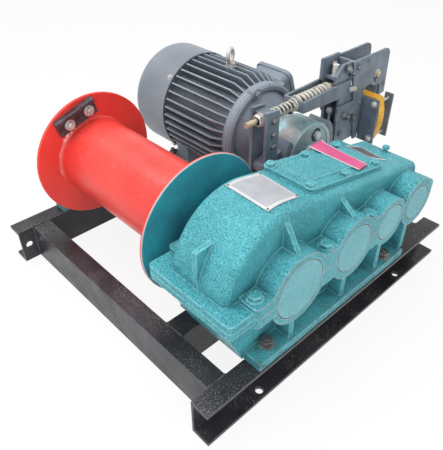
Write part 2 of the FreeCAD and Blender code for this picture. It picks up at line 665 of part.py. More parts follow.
def gearbox_body():
    """Lower housing: raked ends, a flat foot and an upright rib under each boss."""
    foot_top = CHANNEL_HEIGHT + GEARBOX_FOOT_THICKNESS
    front = DRUM_Y - GEARBOX_END_RADIUS
    rear = GEARBOX_SMALL_END_Y
    bottom = CHANNEL_HEIGHT + 2
    outline = [(front, AXIS_Z), (front + 4, AXIS_Z - BODY_SIDE_DEPTH), (front + BODY_FRONT_RAKE, bottom),
               (rear - BODY_REAR_RAKE, bottom), (rear - 10, AXIS_Z - BODY_REAR_DEPTH), (rear, AXIS_Z)]
    half = GEARBOX_FOOT_WIDTH / 2
    pieces = [prism_x(outline, GEARBOX_INNER_X, GEARBOX_OUTER_X),
              box(GEARBOX_CENTRE_X - half, GEARBOX_CENTRE_X + half, GEARBOX_FOOT_FRONT_Y, GEARBOX_FOOT_REAR_Y,
                  CHANNEL_HEIGHT, foot_top),
              parting_flange(AXIS_Z - PARTING_FLANGE_THICKNESS, AXIS_Z)]
    pieces += corner_pads(AXIS_Z - CORNER_PAD_HEIGHT, AXIS_Z)
    lower = half_space(-BEYOND, AXIS_Z)
    for boss in bosses():
        pieces.append(boss.common(lower))
    reach = GEARBOX_WALL_WIDTH / 2 + BOSS_LENGTH - BODY_RIB_INSET
    for y, radius in zip(SHAFT_YS, BOSS_RADII):
        pieces.append(box(GEARBOX_CENTRE_X - reach, GEARBOX_CENTRE_X + reach, y - BODY_RIB_THICKNESS / 2,
                          y + BODY_RIB_THICKNESS / 2, foot_top - 1, AXIS_Z - radius / 2))
    body = fuse(pieces)
    for seat in cap_seats():
        body = body.cut(seat)
    return body


def bearing_caps():
    """Eight flat end caps, two on each shaft; the drive-through ones are bored."""
    caps = []
    for index, (y, radius) in enumerate(zip(SHAFT_YS, CAP_RADII)):
        outer = GEARBOX_OUTER_X + BOSS_LENGTH
        inner = GEARBOX_INNER_X - BOSS_LENGTH
        caps.append(cylinder_x(outer - CAP_THICKNESS, outer, y, AXIS_Z, radius))
        cap = cylinder_x(inner, inner + CAP_THICKNESS, y, AXIS_Z, radius)
        if index == 0:
            cap = cap.cut(cylinder_x(inner - 1, BEYOND, y, AXIS_Z, DRUM_SHAFT_RADIUS + SHAFT_CLEARANCE))
        if index == len(SHAFT_YS) - 1:
            cap = cap.cut(cylinder_x(inner - 1, BEYOND, y, AXIS_Z, INPUT_SHAFT_RADIUS + SHAFT_CLEARANCE))
        caps.append(cap)
    return Part.makeCompound(caps)


def on_slope(shape, y):
    """Copy of a shape made flat at height zero, laid on the cover's sloping top at y."""
    copy = shape.copy()
    copy.rotate(FreeCAD.Vector(0, 0, 0), FreeCAD.Vector(1, 0, 0), -GEARBOX_TOP_SLOPE)
    copy.translate(FreeCAD.Vector(0, y, slope_height(y)))
    return copy


def inspection_cover():
    half = INSPECTION_WIDTH / 2
    x0 = INSPECTION_CENTRE_X - half
    x1 = INSPECTION_CENTRE_X + half
    margin = INSPECTION_RAISED_MARGIN
    plate = rounded_box(x0, x1, 0, INSPECTION_LENGTH, 0, INSPECTION_THICKNESS, INSPECTION_CORNER)
    raised = rounded_box(x0 + margin, x1 - margin, margin, INSPECTION_LENGTH - margin, INSPECTION_THICKNESS - 1,
                         INSPECTION_THICKNESS + INSPECTION_RAISED_HEIGHT, INSPECTION_CORNER / 2)
    return on_slope(fuse([plate, raised]), INSPECTION_START_Y)


def breather():
    """Domed breather plug with a narrower neck."""
    neck = BREATHER_RADIUS * 0.6
    shoulder = BREATHER_HEIGHT / 2
    head = BREATHER_HEIGHT - 2
    profile = [(0, 0), (neck, 0), (neck, shoulder), (BREATHER_RADIUS, shoulder), (BREATHER_RADIUS, head),
               (BREATHER_RADIUS - 3, BREATHER_HEIGHT), (0, BREATHER_HEIGHT)]
    face = face_of([FreeCAD.Vector(GEARBOX_CENTRE_X + radius, 0, up) for radius, up in profile])
    plug = face.revolve(FreeCAD.Vector(GEARBOX_CENTRE_X, 0, 0), FreeCAD.Vector(0, 0, 1), 360)
    return on_slope(plug, GEARBOX_SMALL_END_Y - BREATHER_INSET_Y)


save("gearbox_body", gearbox_body())
save("gearbox_cover", gearbox_cover())
save("bearing_caps", bearing_caps())
save("inspection_cover", inspection_cover())
save("gearbox_breather", breather())


# ---- motor --------------------------------------------------------------------------
def motor_fin(angle):
    start = MOTOR_BODY_START_X + MOTOR_FIN_START
    end = MOTOR_BODY_END_X
    root = MOTOR_BODY_RADIUS - 3
    half = MOTOR_FIN_THICKNESS / 2
    side = [(start, root), (start, MOTOR_FIN_RADIUS), (end - MOTOR_FIN_SLOPE, MOTOR_FIN_RADIUS),
            (end - 4, MOTOR_BODY_RADIUS + 6), (end - 4, root)]
    face = face_of([FreeCAD.Vector(x, MOTOR_Y - half, AXIS_Z + radius) for x, radius in side])
    fin = face.extrude(FreeCAD.Vector(0, MOTOR_FIN_THICKNESS, 0))
    return turned(fin, MOTOR_Y, AXIS_Z, angle)


def motor_foot(hole_x, inboard, side):
    """One foot: a flat pad with a hole, and a tapered leg that rises to the barrel."""
    bottom = CHANNEL_HEIGHT + MOTOR_SHIM
    top = bottom + MOTOR_FOOT_THICKNESS
    centre = MOTOR_Y + side * MOTOR_FOOT_SPACING_Y / 2
    half_y = MOTOR_FOOT_WIDTH / 2
    leg_x = hole_x + inboard * MOTOR_FOOT_LEG_INSET
    ends = sorted((hole_x - inboard * MOTOR_FOOT_PAD_END, leg_x + inboard * MOTOR_FOOT_LEG_LENGTH / 2))
    pad = box(ends[0], ends[1], centre - half_y, centre + half_y, bottom, top)
    inner = centre - side * (half_y + 10)
    outer = centre - side * 4
    leg_top = AXIS_Z - MOTOR_FOOT_LEG_DROP
    leg_outline = [(inner, bottom), (outer, bottom), (outer, top), (outer + side * MOTOR_FOOT_LEG_SPLAY, leg_top),
                   (inner, leg_top)]
    half_x = MOTOR_FOOT_LEG_LENGTH / 2
    leg = prism_x(leg_outline, leg_x - half_x, leg_x + half_x)
    leg = leg.cut(cylinder_x(-BEYOND, BEYOND, MOTOR_Y, AXIS_Z, MOTOR_BODY_RADIUS - 2))
    hole = cylinder_z(bottom - 1, top + 1, hole_x, centre, MOTOR_FOOT_HOLE_RADIUS)
    return [pad, leg], hole


def motor_frame():
    profile = [(MOTOR_BODY_START_X, 0), (MOTOR_BODY_START_X, MOTOR_BODY_RADIUS),
               (MOTOR_BODY_END_X - 10, MOTOR_BODY_RADIUS), (MOTOR_BODY_END_X - 10, MOTOR_SHIELD_RADIUS),
               (MOTOR_BODY_END_X, MOTOR_SHIELD_RADIUS), (MOTOR_BODY_END_X, 0)]
    pieces = [revolve_x(profile, MOTOR_Y, AXIS_Z)]
    step = 360 / MOTOR_FIN_COUNT
    for index in range(MOTOR_FIN_COUNT):
        angle = (index + 0.5) * step
        under = abs(angle - 180) < MOTOR_UNDERSIDE_ANGLE
        boxed = abs(angle - (360 - TERMINAL_BOX_ANGLE)) < MOTOR_BOX_ANGLE
        if not under and not boxed:
            pieces.append(motor_fin(angle))
    holes = []
    rear_x = MOTOR_FOOT_FRONT_X - MOTOR_FOOT_SPACING_X
    for hole_x, inboard in ((MOTOR_FOOT_FRONT_X, -1), (rear_x, 1)):
        for side in (-1, 1):
            foot, hole = motor_foot(hole_x, inboard, side)
            pieces += foot
            holes.append(hole)
    half_x = TERMINAL_BOX_LENGTH / 2 + TERMINAL_SEAT_MARGIN
    half_y = TERMINAL_BOX_WIDTH / 2 - TERMINAL_SEAT_MARGIN
    pad = box(TERMINAL_BOX_X - half_x, TERMINAL_BOX_X + half_x, MOTOR_Y - half_y, MOTOR_Y + half_y,
              AXIS_Z + MOTOR_BODY_RADIUS * 0.85, AXIS_Z + MOTOR_FIN_RADIUS)
    pieces.append(turned(pad, MOTOR_Y, AXIS_Z, -TERMINAL_BOX_ANGLE))
    pieces.append(cylinder_z(AXIS_Z + MOTOR_BODY_RADIUS - 4, AXIS_Z + MOTOR_FIN_RADIUS,
                             LIFTING_EYE_X, MOTOR_Y, LIFTING_EYE_COLLAR + 4))
    body = fuse(pieces)
    for hole in holes:
        body = body.cut(hole)
    return body


def motor_cowl():
    radius = MOTOR_COWL_RADIUS
    start = MOTOR_COWL_START_X
    round_size = MOTOR_COWL_ROUND
    wall = MOTOR_COWL_WALL
    end = MOTOR_COWL_END_X

    def profile(outer, back):
        corner = round_size - (radius - outer)
        centre_x = back + corner
        centre_r = outer - corner
        middle = math.radians(45)
        first = FreeCAD.Vector(back, MOTOR_Y, AXIS_Z)
        second = FreeCAD.Vector(back, MOTOR_Y, AXIS_Z + centre_r)
        mid = FreeCAD.Vector(centre_x - corner * math.cos(middle), MOTOR_Y,
                             AXIS_Z + centre_r + corner * math.sin(middle))
        third = FreeCAD.Vector(centre_x, MOTOR_Y, AXIS_Z + outer)
        fourth = FreeCAD.Vector(end, MOTOR_Y, AXIS_Z + outer)
        fifth = FreeCAD.Vector(end, MOTOR_Y, AXIS_Z)
        edges = [Part.makeLine(first, second), arc_edge(second, mid, third), Part.makeLine(third, fourth),
                 Part.makeLine(fourth, fifth), Part.makeLine(fifth, first)]
        return Part.Face(Part.Wire(edges))

    axis_point = FreeCAD.Vector(0, MOTOR_Y, AXIS_Z)
    axis = FreeCAD.Vector(1, 0, 0)
    outside = profile(radius, start).revolve(axis_point, axis, 360)
    inside = profile(radius - wall, start + wall).revolve(axis_point, axis, 360)
    inside.translate(FreeCAD.Vector(0.01, 0, 0))
    shell = outside.cut(inside)
    plug = cylinder_x(MOTOR_BODY_START_X - 6, end, MOTOR_Y, AXIS_Z, radius - wall)
    core = cylinder_x(MOTOR_BODY_START_X - 6, MOTOR_BODY_START_X, MOTOR_Y, AXIS_Z, radius - wall)
    return fuse([shell, core.common(plug)])


def motor_end_shield():
    """Drive-end shield: bolted rim, recessed cone and bearing nose."""
    start = MOTOR_BODY_END_X
    rim = start + MOTOR_SHIELD_THICKNESS
    profile = [(start, 0), (start, MOTOR_SHIELD_RADIUS), (rim - 6, MOTOR_SHIELD_RADIUS),
               (rim, MOTOR_SHIELD_RADIUS - 6), (rim, MOTOR_SHIELD_RADIUS - 16),
               (rim - 8, MOTOR_SHIELD_RADIUS - 20), (MOTOR_NOSE_X - 22, MOTOR_NOSE_RADIUS + 8),
               (MOTOR_NOSE_X - 8, MOTOR_NOSE_RADIUS), (MOTOR_NOSE_X, MOTOR_NOSE_RADIUS - 4), (MOTOR_NOSE_X, 0)]
    body = revolve_x(profile, MOTOR_Y, AXIS_Z)
    lugs = []
    for quarter in range(4):
        lug = cylinder_x(start, rim + 4, MOTOR_Y, AXIS_Z + MOTOR_SHIELD_RADIUS - 6, MOTOR_SHIELD_LUG_RADIUS)
        lugs.append(turned(lug, MOTOR_Y, AXIS_Z, MOTOR_SHIELD_LUG_ANGLE + 90 * quarter))
    body = fuse([body] + lugs)
    return body.cut(cylinder_x(MOTOR_NOSE_X - 40, MOTOR_NOSE_X + 1, MOTOR_Y, AXIS_Z,
                               MOTOR_SHAFT_RADIUS + SHAFT_CLEARANCE))


def terminal_box():
    half_x = TERMINAL_BOX_LENGTH / 2
    half_y = TERMINAL_BOX_WIDTH / 2
    base = AXIS_Z + MOTOR_FIN_RADIUS
    joint = base + TERMINAL_BOX_HEIGHT - TERMINAL_LID_THICKNESS

    def rounded(margin, z0, z1):
        return rounded_box(TERMINAL_BOX_X - half_x + margin, TERMINAL_BOX_X + half_x - margin,
                           MOTOR_Y - half_y + margin, MOTOR_Y + half_y - margin, z0, z1, TERMINAL_BOX_CORNER)

    body = fuse([rounded(TERMINAL_LID_OVERHANG, base, joint),
                 rounded(0, joint, joint + TERMINAL_LID_THICKNESS)])
    return turned(body, MOTOR_Y, AXIS_Z, -TERMINAL_BOX_ANGLE)


def lifting_eye():
    base = AXIS_Z + MOTOR_FIN_RADIUS
    shoulder = base + LIFTING_EYE_COLLAR_HEIGHT
    turn = math.radians(LIFTING_EYE_TURN)
    ring = Part.makeTorus(LIFTING_EYE_RING, LIFTING_EYE_WIRE,
                          FreeCAD.Vector(LIFTING_EYE_X, MOTOR_Y, shoulder + LIFTING_EYE_RING),
                          FreeCAD.Vector(math.cos(turn), math.sin(turn), 0))
    return fuse([ring, cylinder_z(base, shoulder, LIFTING_EYE_X, MOTOR_Y, LIFTING_EYE_COLLAR)])


save("motor_frame", motor_frame())
save("motor_fan_cowl", motor_cowl())
save("motor_end_shield", motor_end_shield())
save("motor_terminal_box", terminal_box())
save("motor_lifting_eye", lifting_eye())


# ---- brake wheel, coupling and shafts ---------------------------------------------
def brake_wheel():
    web_start = WHEEL_X - WHEEL_WEB / 2
    near = WHEEL_NEAR_X
    far = WHEEL_FAR_X
    inner = WHEEL_RADIUS - WHEEL_RIM
    hub_end = near + WHEEL_HUB_REACH
    profile = [(far, inner), (far, WHEEL_RADIUS - 1), (far + 1, WHEEL_RADIUS), (near - 1, WHEEL_RADIUS),
               (near, WHEEL_RADIUS - 1), (near, inner), (near - WHEEL_RECESS, inner - 2),
               (near - WHEEL_RECESS, WHEEL_HUB_RADIUS), (hub_end, WHEEL_HUB_RADIUS - 2),
               (hub_end, INPUT_SHAFT_RADIUS), (web_start, INPUT_SHAFT_RADIUS), (web_start, inner - 2)]
    return revolve_x(profile, MOTOR_Y, AXIS_Z)


def coupling_pins(x0, x1, radius):
    pins = []
    for index in range(COUPLING_PIN_COUNT):
        pin = cylinder_x(x0, x1, MOTOR_Y, AXIS_Z + COUPLING_PIN_CIRCLE, radius)
        pins.append(turned(pin, MOTOR_Y, AXIS_Z, COUPLING_PIN_START + index * 360 / COUPLING_PIN_COUNT))
    return pins


def motor_coupling():
    """Half coupling on the motor shaft; its pins and rubber bushes fill the wheel's holes."""
    end = WHEEL_FAR_X - COUPLING_GAP
    start = end - COUPLING_THICKNESS
    bush_end = WHEEL_NEAR_X - COUPLING_BUSH_RECESS
    disc = cylinder_x(start, end, MOTOR_Y, AXIS_Z, COUPLING_RADIUS)
    disc = disc.cut(cylinder_x(start - 1, end + 1, MOTOR_Y, AXIS_Z, MOTOR_SHAFT_RADIUS))
    pieces = [disc] + coupling_pins(start, bush_end, COUPLING_PIN_RADIUS)
    pieces += coupling_pins(WHEEL_X - WHEEL_WEB / 2, bush_end, COUPLING_BUSH_RADIUS)
    pieces += coupling_pins(bush_end, bush_end + COUPLING_NUT_HEIGHT, COUPLING_NUT_RADIUS)
    return fuse(pieces)


def motor_shaft():
    start = MOTOR_NOSE_X - 40
    end = WHEEL_FAR_X - COUPLING_GAP
    return cylinder_x(start, end, MOTOR_Y, AXIS_Z, MOTOR_SHAFT_RADIUS)


def input_shaft():
    start = WHEEL_X - WHEEL_WEB / 2
    return cylinder_x(start, GEARBOX_CENTRE_X, MOTOR_Y, AXIS_Z, INPUT_SHAFT_RADIUS)


wheel = brake_wheel()
for pin_hole in coupling_pins(WHEEL_FAR_X, WHEEL_NEAR_X, COUPLING_BUSH_RADIUS):
    wheel = wheel.cut(pin_hole)
save("brake_wheel", wheel)
save("motor_coupling", motor_coupling())
save("motor_shaft", motor_shaft())
save("input_shaft", input_shaft())


# ---- shoe brake ---------------------------------------------------------------------
def mirrored(shape):
    """Mirror image about the wheel's own upright plane, for the rear arm."""
    return shape.mirror(FreeCAD.Vector(0, MOTOR_Y, 0), FreeCAD.Vector(0, 1, 0))


def brake_base():
    top = CHANNEL_HEIGHT + BRAKE_BASE_THICKNESS
    half = BRAKE_BASE_WIDTH / 2
    plate = box(WHEEL_X - half, WHEEL_X + half, FRONT_ARM_Y - BRAKE_BASE_OVERHANG,
                REAR_ARM_Y + BRAKE_BASE_OVERHANG, CHANNEL_HEIGHT, top)
    lug_half = ARM_GAP / 2 - SIDE_PLAY
    pieces = [plate]
    for y in (FRONT_ARM_Y, REAR_ARM_Y):
        pieces.append(box(WHEEL_X - lug_half, WHEEL_X + lug_half, y - BRAKE_LUG_HALF, y + BRAKE_LUG_HALF, top,
                          ARM_PIN_Z))
        pieces.append(cylinder_x(WHEEL_X - lug_half, WHEEL_X + lug_half, y, ARM_PIN_Z, BRAKE_LUG_RADIUS))
    body = fuse(pieces)
    for y in (FRONT_ARM_Y, REAR_ARM_Y):
        body = body.cut(cylinder_x(-BEYOND, BEYOND, y, ARM_PIN_Z, ARM_PIN_RADIUS + SHAFT_CLEARANCE))
    return body


def pivot_pins():
    pins = []
    for y in (FRONT_ARM_Y, REAR_ARM_Y):
        reach = ARM_OUTER + SIDE_PLAY
        pin = cylinder_x(WHEEL_X - reach, WHEEL_X + reach, y, ARM_PIN_Z, ARM_PIN_RADIUS)
        heads = [cylinder_x(WHEEL_X + reach, WHEEL_X + reach + 5, y, ARM_PIN_Z, ARM_PIN_RADIUS + 5),
                 cylinder_x(WHEEL_X - reach - 5, WHEEL_X - reach, y, ARM_PIN_Z, ARM_PIN_RADIUS + 5)]
        pins.append(fuse([pin] + heads))
    return Part.makeCompound(pins)


def arm_plate(x0, outline):
    return prism_x(outline, x0, x0 + ARM_PLATE)


def front_arm_outline():
    half = ARM_DEPTH / 2
    return [(FRONT_ARM_Y - half, ARM_PIN_Z - 12), (FRONT_ARM_Y - half + 12, ARM_PIN_Z - 20),
            (FRONT_ARM_Y + half - 12, ARM_PIN_Z - 20), (FRONT_ARM_Y + half, ARM_PIN_Z - 12),
            (FRONT_ARM_Y + half, ARM_TOP_Z - 4), (FRONT_ARM_Y - half, ARM_TOP_Z)]


def rear_arm_outline(head_top, head_front):
    """Rear arm with a head that reaches forward over the rod; the head's top is level."""
    half = ARM_DEPTH / 2
    y = REAR_ARM_Y
    head_bottom = SPRING_ROD_Z + MAIN_SPRING_RADIUS + 2
    return [(y - half, ARM_PIN_Z - 12), (y - half + 12, ARM_PIN_Z - 20), (y + half - 12, ARM_PIN_Z - 20),
            (y + half, ARM_PIN_Z - 12), (y + half, head_top), (head_front, head_top),
            (ARM_HEAD_FRONT_Y, head_bottom + MAIN_SPRING_RADIUS), (ARM_HEAD_FRONT_Y, head_bottom),
            (y - half, head_bottom - 2 * MAIN_SPRING_RADIUS)]


def arm_pins(y):
    """Pins across an arm that carry its shoe and tie its plates together."""
    inner = ARM_GAP / 2
    reach = ARM_OUTER + ARM_PIN_PROUD
    return [cylinder_x(WHEEL_X - reach, WHEEL_X + reach, y, AXIS_Z, SHOE_PIN_RADIUS),
            cylinder_x(WHEEL_X - inner, WHEEL_X + inner, y, ARM_PIN_Z + ARM_STUD_RISE, SHOE_PIN_RADIUS)]


def pin_holes(body, y):
    return body.cut(cylinder_x(-BEYOND, BEYOND, y, ARM_PIN_Z, ARM_PIN_RADIUS + SHAFT_CLEARANCE))


def front_arm():
    pieces = [arm_plate(WHEEL_X - ARM_OUTER, front_arm_outline()),
              arm_plate(WHEEL_X + ARM_GAP / 2, front_arm_outline())] + arm_pins(FRONT_ARM_Y)
    block = box(WHEEL_X - ARM_GAP / 2, WHEEL_X + ARM_GAP / 2, FRONT_ARM_Y - ARM_BLOCK_HALF,
                FRONT_ARM_Y + ARM_BLOCK_HALF, SPRING_ROD_Z - ARM_BLOCK_HALF, SPRING_ROD_Z + ARM_BLOCK_HALF)
    body = fuse(pieces + [block])
    body = body.cut(cylinder_y(-BEYOND, BEYOND, WHEEL_X, SPRING_ROD_Z, SPRING_ROD_RADIUS))
    return pin_holes(body, FRONT_ARM_Y)


def rear_arm():
    inner = ARM_GAP / 2
    web = box(WHEEL_X - inner, WHEEL_X + inner, ARM_REAR_Y - ARM_PLATE, ARM_REAR_Y, SPRING_ROD_Z - 60,
              ARM_HEAD_NEAR_TOP_Z)
    trunnion = cylinder_x(WHEEL_X - inner, WHEEL_X + inner, TRUNNION_Y, TRUNNION_Z + SPRING_ROD_RADIUS,
                          TRUNNION_RADIUS)
    block = cylinder_z(TRUNNION_Z + SPRING_ROD_RADIUS, ARM_HEAD_NEAR_TOP_Z - TRUNNION_RADIUS, WHEEL_X,
                       TRUNNION_Y + TRUNNION_RADIUS, TRUNNION_RADIUS + 2)
    pieces = [arm_plate(WHEEL_X - ARM_OUTER, rear_arm_outline(ARM_HEAD_TOP_Z, ARM_HEAD_FRONT_Y)),
              arm_plate(WHEEL_X + inner, rear_arm_outline(ARM_HEAD_NEAR_TOP_Z, ARM_HEAD_NEAR_FRONT_Y)),
              web, trunnion, block]
    body = fuse(pieces + arm_pins(REAR_ARM_Y))
    return pin_holes(body, REAR_ARM_Y)


def ring_sector(inner, outer, width, half_angle):
    """Curved block in front of the wheel, about the wheel's axis."""
    ring = cylinder_x(WHEEL_X - width / 2, WHEEL_X + width / 2, MOTOR_Y, AXIS_Z, outer)
    ring = ring.cut(cylinder_x(WHEEL_X - width, WHEEL_X + width, MOTOR_Y, AXIS_Z, inner))
    reach = 2 * outer
    spread = reach * math.tan(math.radians(half_angle))
    wedge = prism_x([(MOTOR_Y, AXIS_Z), (MOTOR_Y - reach, AXIS_Z - spread), (MOTOR_Y - reach, AXIS_Z + spread)],
                    WHEEL_X - width, WHEEL_X + width)
    return ring.common(wedge)


def brake_lining():
    inner = WHEEL_RADIUS + LINING_GAP
    return ring_sector(inner, inner + LINING_THICKNESS, SHOE_WIDTH, SHOE_HALF_ANGLE - 2)


def brake_shoe():
    inner = WHEEL_RADIUS + LINING_GAP + LINING_THICKNESS
    outer = inner + SHOE_THICKNESS
    half = ARM_GAP / 2 - SIDE_PLAY
    rim = ring_sector(inner, outer, SHOE_WIDTH, SHOE_HALF_ANGLE)
    eye_radius = SHOE_EYE_RADIUS
    lug_end = MOTOR_Y - inner - SHOE_THICKNESS / 2
    lug_outline = [(FRONT_ARM_Y, AXIS_Z - eye_radius), (lug_end, AXIS_Z - 2 * eye_radius),
                   (lug_end, AXIS_Z + 2 * eye_radius), (FRONT_ARM_Y, AXIS_Z + eye_radius)]
    lug = prism_x(lug_outline, WHEEL_X - half, WHEEL_X + half)
    eye = cylinder_x(WHEEL_X - half, WHEEL_X + half, FRONT_ARM_Y, AXIS_Z, eye_radius)
    body = fuse([rim, lug, eye])
    return body.cut(cylinder_x(-BEYOND, BEYOND, FRONT_ARM_Y, AXIS_Z, SHOE_PIN_RADIUS + SHAFT_CLEARANCE))


def spring_rod():
    """Threaded rod, clamped in the front arm by nuts and washers, free in the yoke."""
    front = SPRING_ROD_FRONT_Y
    rear = front + SPRING_ROD_LENGTH
    washer = FRONT_ARM_Y - ARM_BLOCK_HALF
    pieces = [cylinder_y(front, rear, WHEEL_X, SPRING_ROD_Z, SPRING_ROD_RADIUS),
              cylinder_y(washer - 4, washer, WHEEL_X, SPRING_ROD_Z, 15),
              cylinder_y(washer - 16, washer - 4, WHEEL_X, SPRING_ROD_Z, 13),
              cylinder_y(SPRING_NUT_Y, SPRING_NUT_Y + 12, WHEEL_X, SPRING_ROD_Z, 13)]
    return fuse(pieces)


def spring(y0, y1, radius, wire, turns):
    """Coil spring along Y, of wire with a many-sided section."""
    pitch = (y1 - y0 - 2 * wire) / turns
    helix = Part.makeHelix(pitch, pitch * turns, radius - wire)
    corners = []
    for index in range(SPRING_WIRE_SIDES + 1):
        angle = 2 * math.pi * index / SPRING_WIRE_SIDES
        corners.append(FreeCAD.Vector(radius - wire + wire * math.cos(angle), 0, wire * math.sin(angle)))
    coil = Part.Wire(helix).makePipeShell([Part.makePolygon(corners)], True, True)
    coil.rotate(FreeCAD.Vector(0, 0, 0), FreeCAD.Vector(1, 0, 0), -90)
    coil.translate(FreeCAD.Vector(WHEEL_X, y0 + wire, SPRING_ROD_Z))
    return coil


def spring_seat(y0, thickness, radius, play):
    """Ring that a spring stands on, loose enough on the rod for the arms' swing."""
    ring = cylinder_y(y0, y0 + thickness, WHEEL_X, SPRING_ROD_Z, radius)
    return ring.cut(cylinder_y(-BEYOND, BEYOND, WHEEL_X, SPRING_ROD_Z, SPRING_ROD_RADIUS + play))


def release_spring():
    """Light spring between the front arm and the yoke, with a seat against the yoke."""
    start = FRONT_ARM_Y + ARM_BLOCK_HALF + SPRING_SEAT_PLAY
    seat = YOKE_FRONT_Y - SPRING_SEAT_PLAY - RELEASE_SEAT_THICKNESS
    coil = spring(start, seat, RELEASE_SPRING_RADIUS, RELEASE_SPRING_WIRE, RELEASE_SPRING_TURNS)
    ring = spring_seat(seat, RELEASE_SEAT_THICKNESS, RELEASE_SPRING_RADIUS + 3, SPRING_SEAT_PLAY)
    return Part.makeCompound([coil, ring])


def main_spring():
    """Heavy spring inside the yoke, between a seat and a cap; the rod slides in both as the arms open."""
    seat = YOKE_FRONT_Y + YOKE_THICKNESS + SPRING_SEAT_PLAY
    cap = SPRING_NUT_Y - ROD_TRAVEL - MAIN_CAP_LENGTH
    coil = spring(seat + MAIN_SEAT_THICKNESS, cap, MAIN_SPRING_RADIUS, MAIN_SPRING_WIRE, MAIN_SPRING_TURNS)
    return Part.makeCompound([spring_seat(seat, MAIN_SEAT_THICKNESS, MAIN_SPRING_RADIUS + 1, ROD_SIDE_PLAY), coil,
                              spring_seat(cap, MAIN_CAP_LENGTH, MAIN_SPRING_RADIUS, ROD_SIDE_PLAY)])


def spring_yoke():
    """Flat bar bent to a long U; its legs are bolted outside the rear arm."""
    inner = ARM_OUTER
    outer = inner + YOKE_THICKNESS
    top = SPRING_ROD_Z + YOKE_HEIGHT / 2
    bottom = SPRING_ROD_Z - YOKE_HEIGHT / 2
    rear = REAR_ARM_Y + ARM_DEPTH / 2 - 14
    front = box(WHEEL_X - outer, WHEEL_X + outer, YOKE_FRONT_Y, YOKE_FRONT_Y + YOKE_THICKNESS, bottom, top)
    leg = [(YOKE_FRONT_Y, bottom), (rear, bottom - 8), (rear, top + 6), (YOKE_FRONT_Y, top)]
    legs = [prism_x(leg, WHEEL_X + inner, WHEEL_X + outer), prism_x(leg, WHEEL_X - outer, WHEEL_X - inner)]
    body = fuse([front] + legs)
    return body.cut(cylinder_y(-BEYOND, BEYOND, WHEEL_X, SPRING_ROD_Z, SPRING_ROD_RADIUS + YOKE_HOLE_PLAY))


save("brake_base", brake_base())
save("brake_pivot_pins", pivot_pins())
save("brake_front_arm", front_arm())
save("brake_rear_arm", rear_arm())
save("brake_front_shoe", brake_shoe())
save("brake_rear_shoe", mirrored(brake_shoe()))
save("brake_front_lining", brake_lining())
save("brake_rear_lining", mirrored(brake_lining()))
save("brake_spring_rod", spring_rod())
save("brake_release_spring", release_spring())
save("brake_main_spring", main_spring())
save("brake_spring_yoke", spring_yoke())


# ---- electromagnet ------------------------------------------------------------------
def strip_front(z):
    """Front edge of a side plate, which leans back towards its foot."""
    share = (MAGNET_TOP_Z - z) / (MAGNET_TOP_Z - MAGNET_BOTTOM_Z)
    return MAGNET_STRIP_TOP_Y + share * (MAGNET_STRIP_BOTTOM_Y - MAGNET_STRIP_TOP_Y)


def magnet_plate(x, with_tab):
    """Side plate: a leaning strip, a flag over the coil and a leg that hangs behind it."""
    flag_bottom = COIL_TOP_Z + COIL_FLAG_CLEARANCE
    rear = MAGNET_FLAG_REAR_Y
    leg_front = rear - MAGNET_LEG_WIDTH
    corner = MAGNET_FLAG_CORNER
    notch_y = (MAGNET_PLATE_REAR_Y + leg_front) / 2

    def point(y, z):
        return FreeCAD.Vector(x, y, z)

    round_start = point(rear - 2 * corner, MAGNET_TOP_Z)
    round_middle = point(rear - 0.8 * corner, MAGNET_TOP_Z - 0.3 * corner)
    round_end = point(rear, MAGNET_TOP_Z - 1.5 * corner)
    path = [point(rear + 6, MAGNET_LEG_FOOT_Z), point(leg_front, MAGNET_LEG_FOOT_Z - 4),
            point(leg_front - 4, flag_bottom), point(notch_y + corner, flag_bottom),
            point(notch_y - corner, flag_bottom + corner),
            point(MAGNET_PLATE_REAR_Y + corner, flag_bottom + corner),
            point(MAGNET_PLATE_REAR_Y, flag_bottom), point(MAGNET_PLATE_REAR_Y, MAGNET_BOTTOM_Z),
            point(MAGNET_STRIP_BOTTOM_Y, MAGNET_BOTTOM_Z)]
    if with_tab:
        path += [point(strip_front(MAGNET_TAB_BOTTOM_Z), MAGNET_TAB_BOTTOM_Z),
                 point(MAGNET_TAB_FRONT_Y, MAGNET_TAB_BOTTOM_Z), point(MAGNET_TAB_FRONT_Y, MAGNET_TAB_TOP_Z),
                 point(strip_front(MAGNET_TAB_TOP_Z), MAGNET_TAB_TOP_Z)]
    path.append(point(MAGNET_STRIP_TOP_Y, MAGNET_TOP_Z))
    edges = [arc_edge(round_start, round_middle, round_end)]
    previous = round_end
    for corner_point in path + [round_start]:
        edges.append(Part.makeLine(previous, corner_point))
        previous = corner_point
    return Part.Face(Part.Wire(edges)).extrude(FreeCAD.Vector(MAGNET_PLATE, 0, 0))


def magnet_plates():
    """The pair of side plates outside the rear arm; the near one has a tab bolted to it."""
    pin_hole = cylinder_x(-BEYOND, BEYOND, ARMATURE_PIN_Y, ARMATURE_PIN_Z, ARMATURE_PIN_RADIUS + SHAFT_CLEARANCE)
    near = magnet_plate(WHEEL_X + ARM_OUTER, True)
    far = magnet_plate(WHEEL_X - ARM_OUTER - MAGNET_PLATE, False)
    return Part.makeCompound([near.cut(pin_hole), far.cut(pin_hole)])


def magnet_core():
    half = ARM_OUTER
    block = box(WHEEL_X - half, WHEEL_X + half, ARM_REAR_Y, MAGNET_PLATE_REAR_Y, COIL_BOTTOM_Z, COIL_TOP_Z)
    leg = box(WHEEL_X - half + 4, WHEEL_X + half - 4, MAGNET_PLATE_REAR_Y - 1, CLAMP_REAR_Y,
              CORE_LEG_BOTTOM_Z, CORE_LEG_TOP_Z)
    return fuse([block, leg])


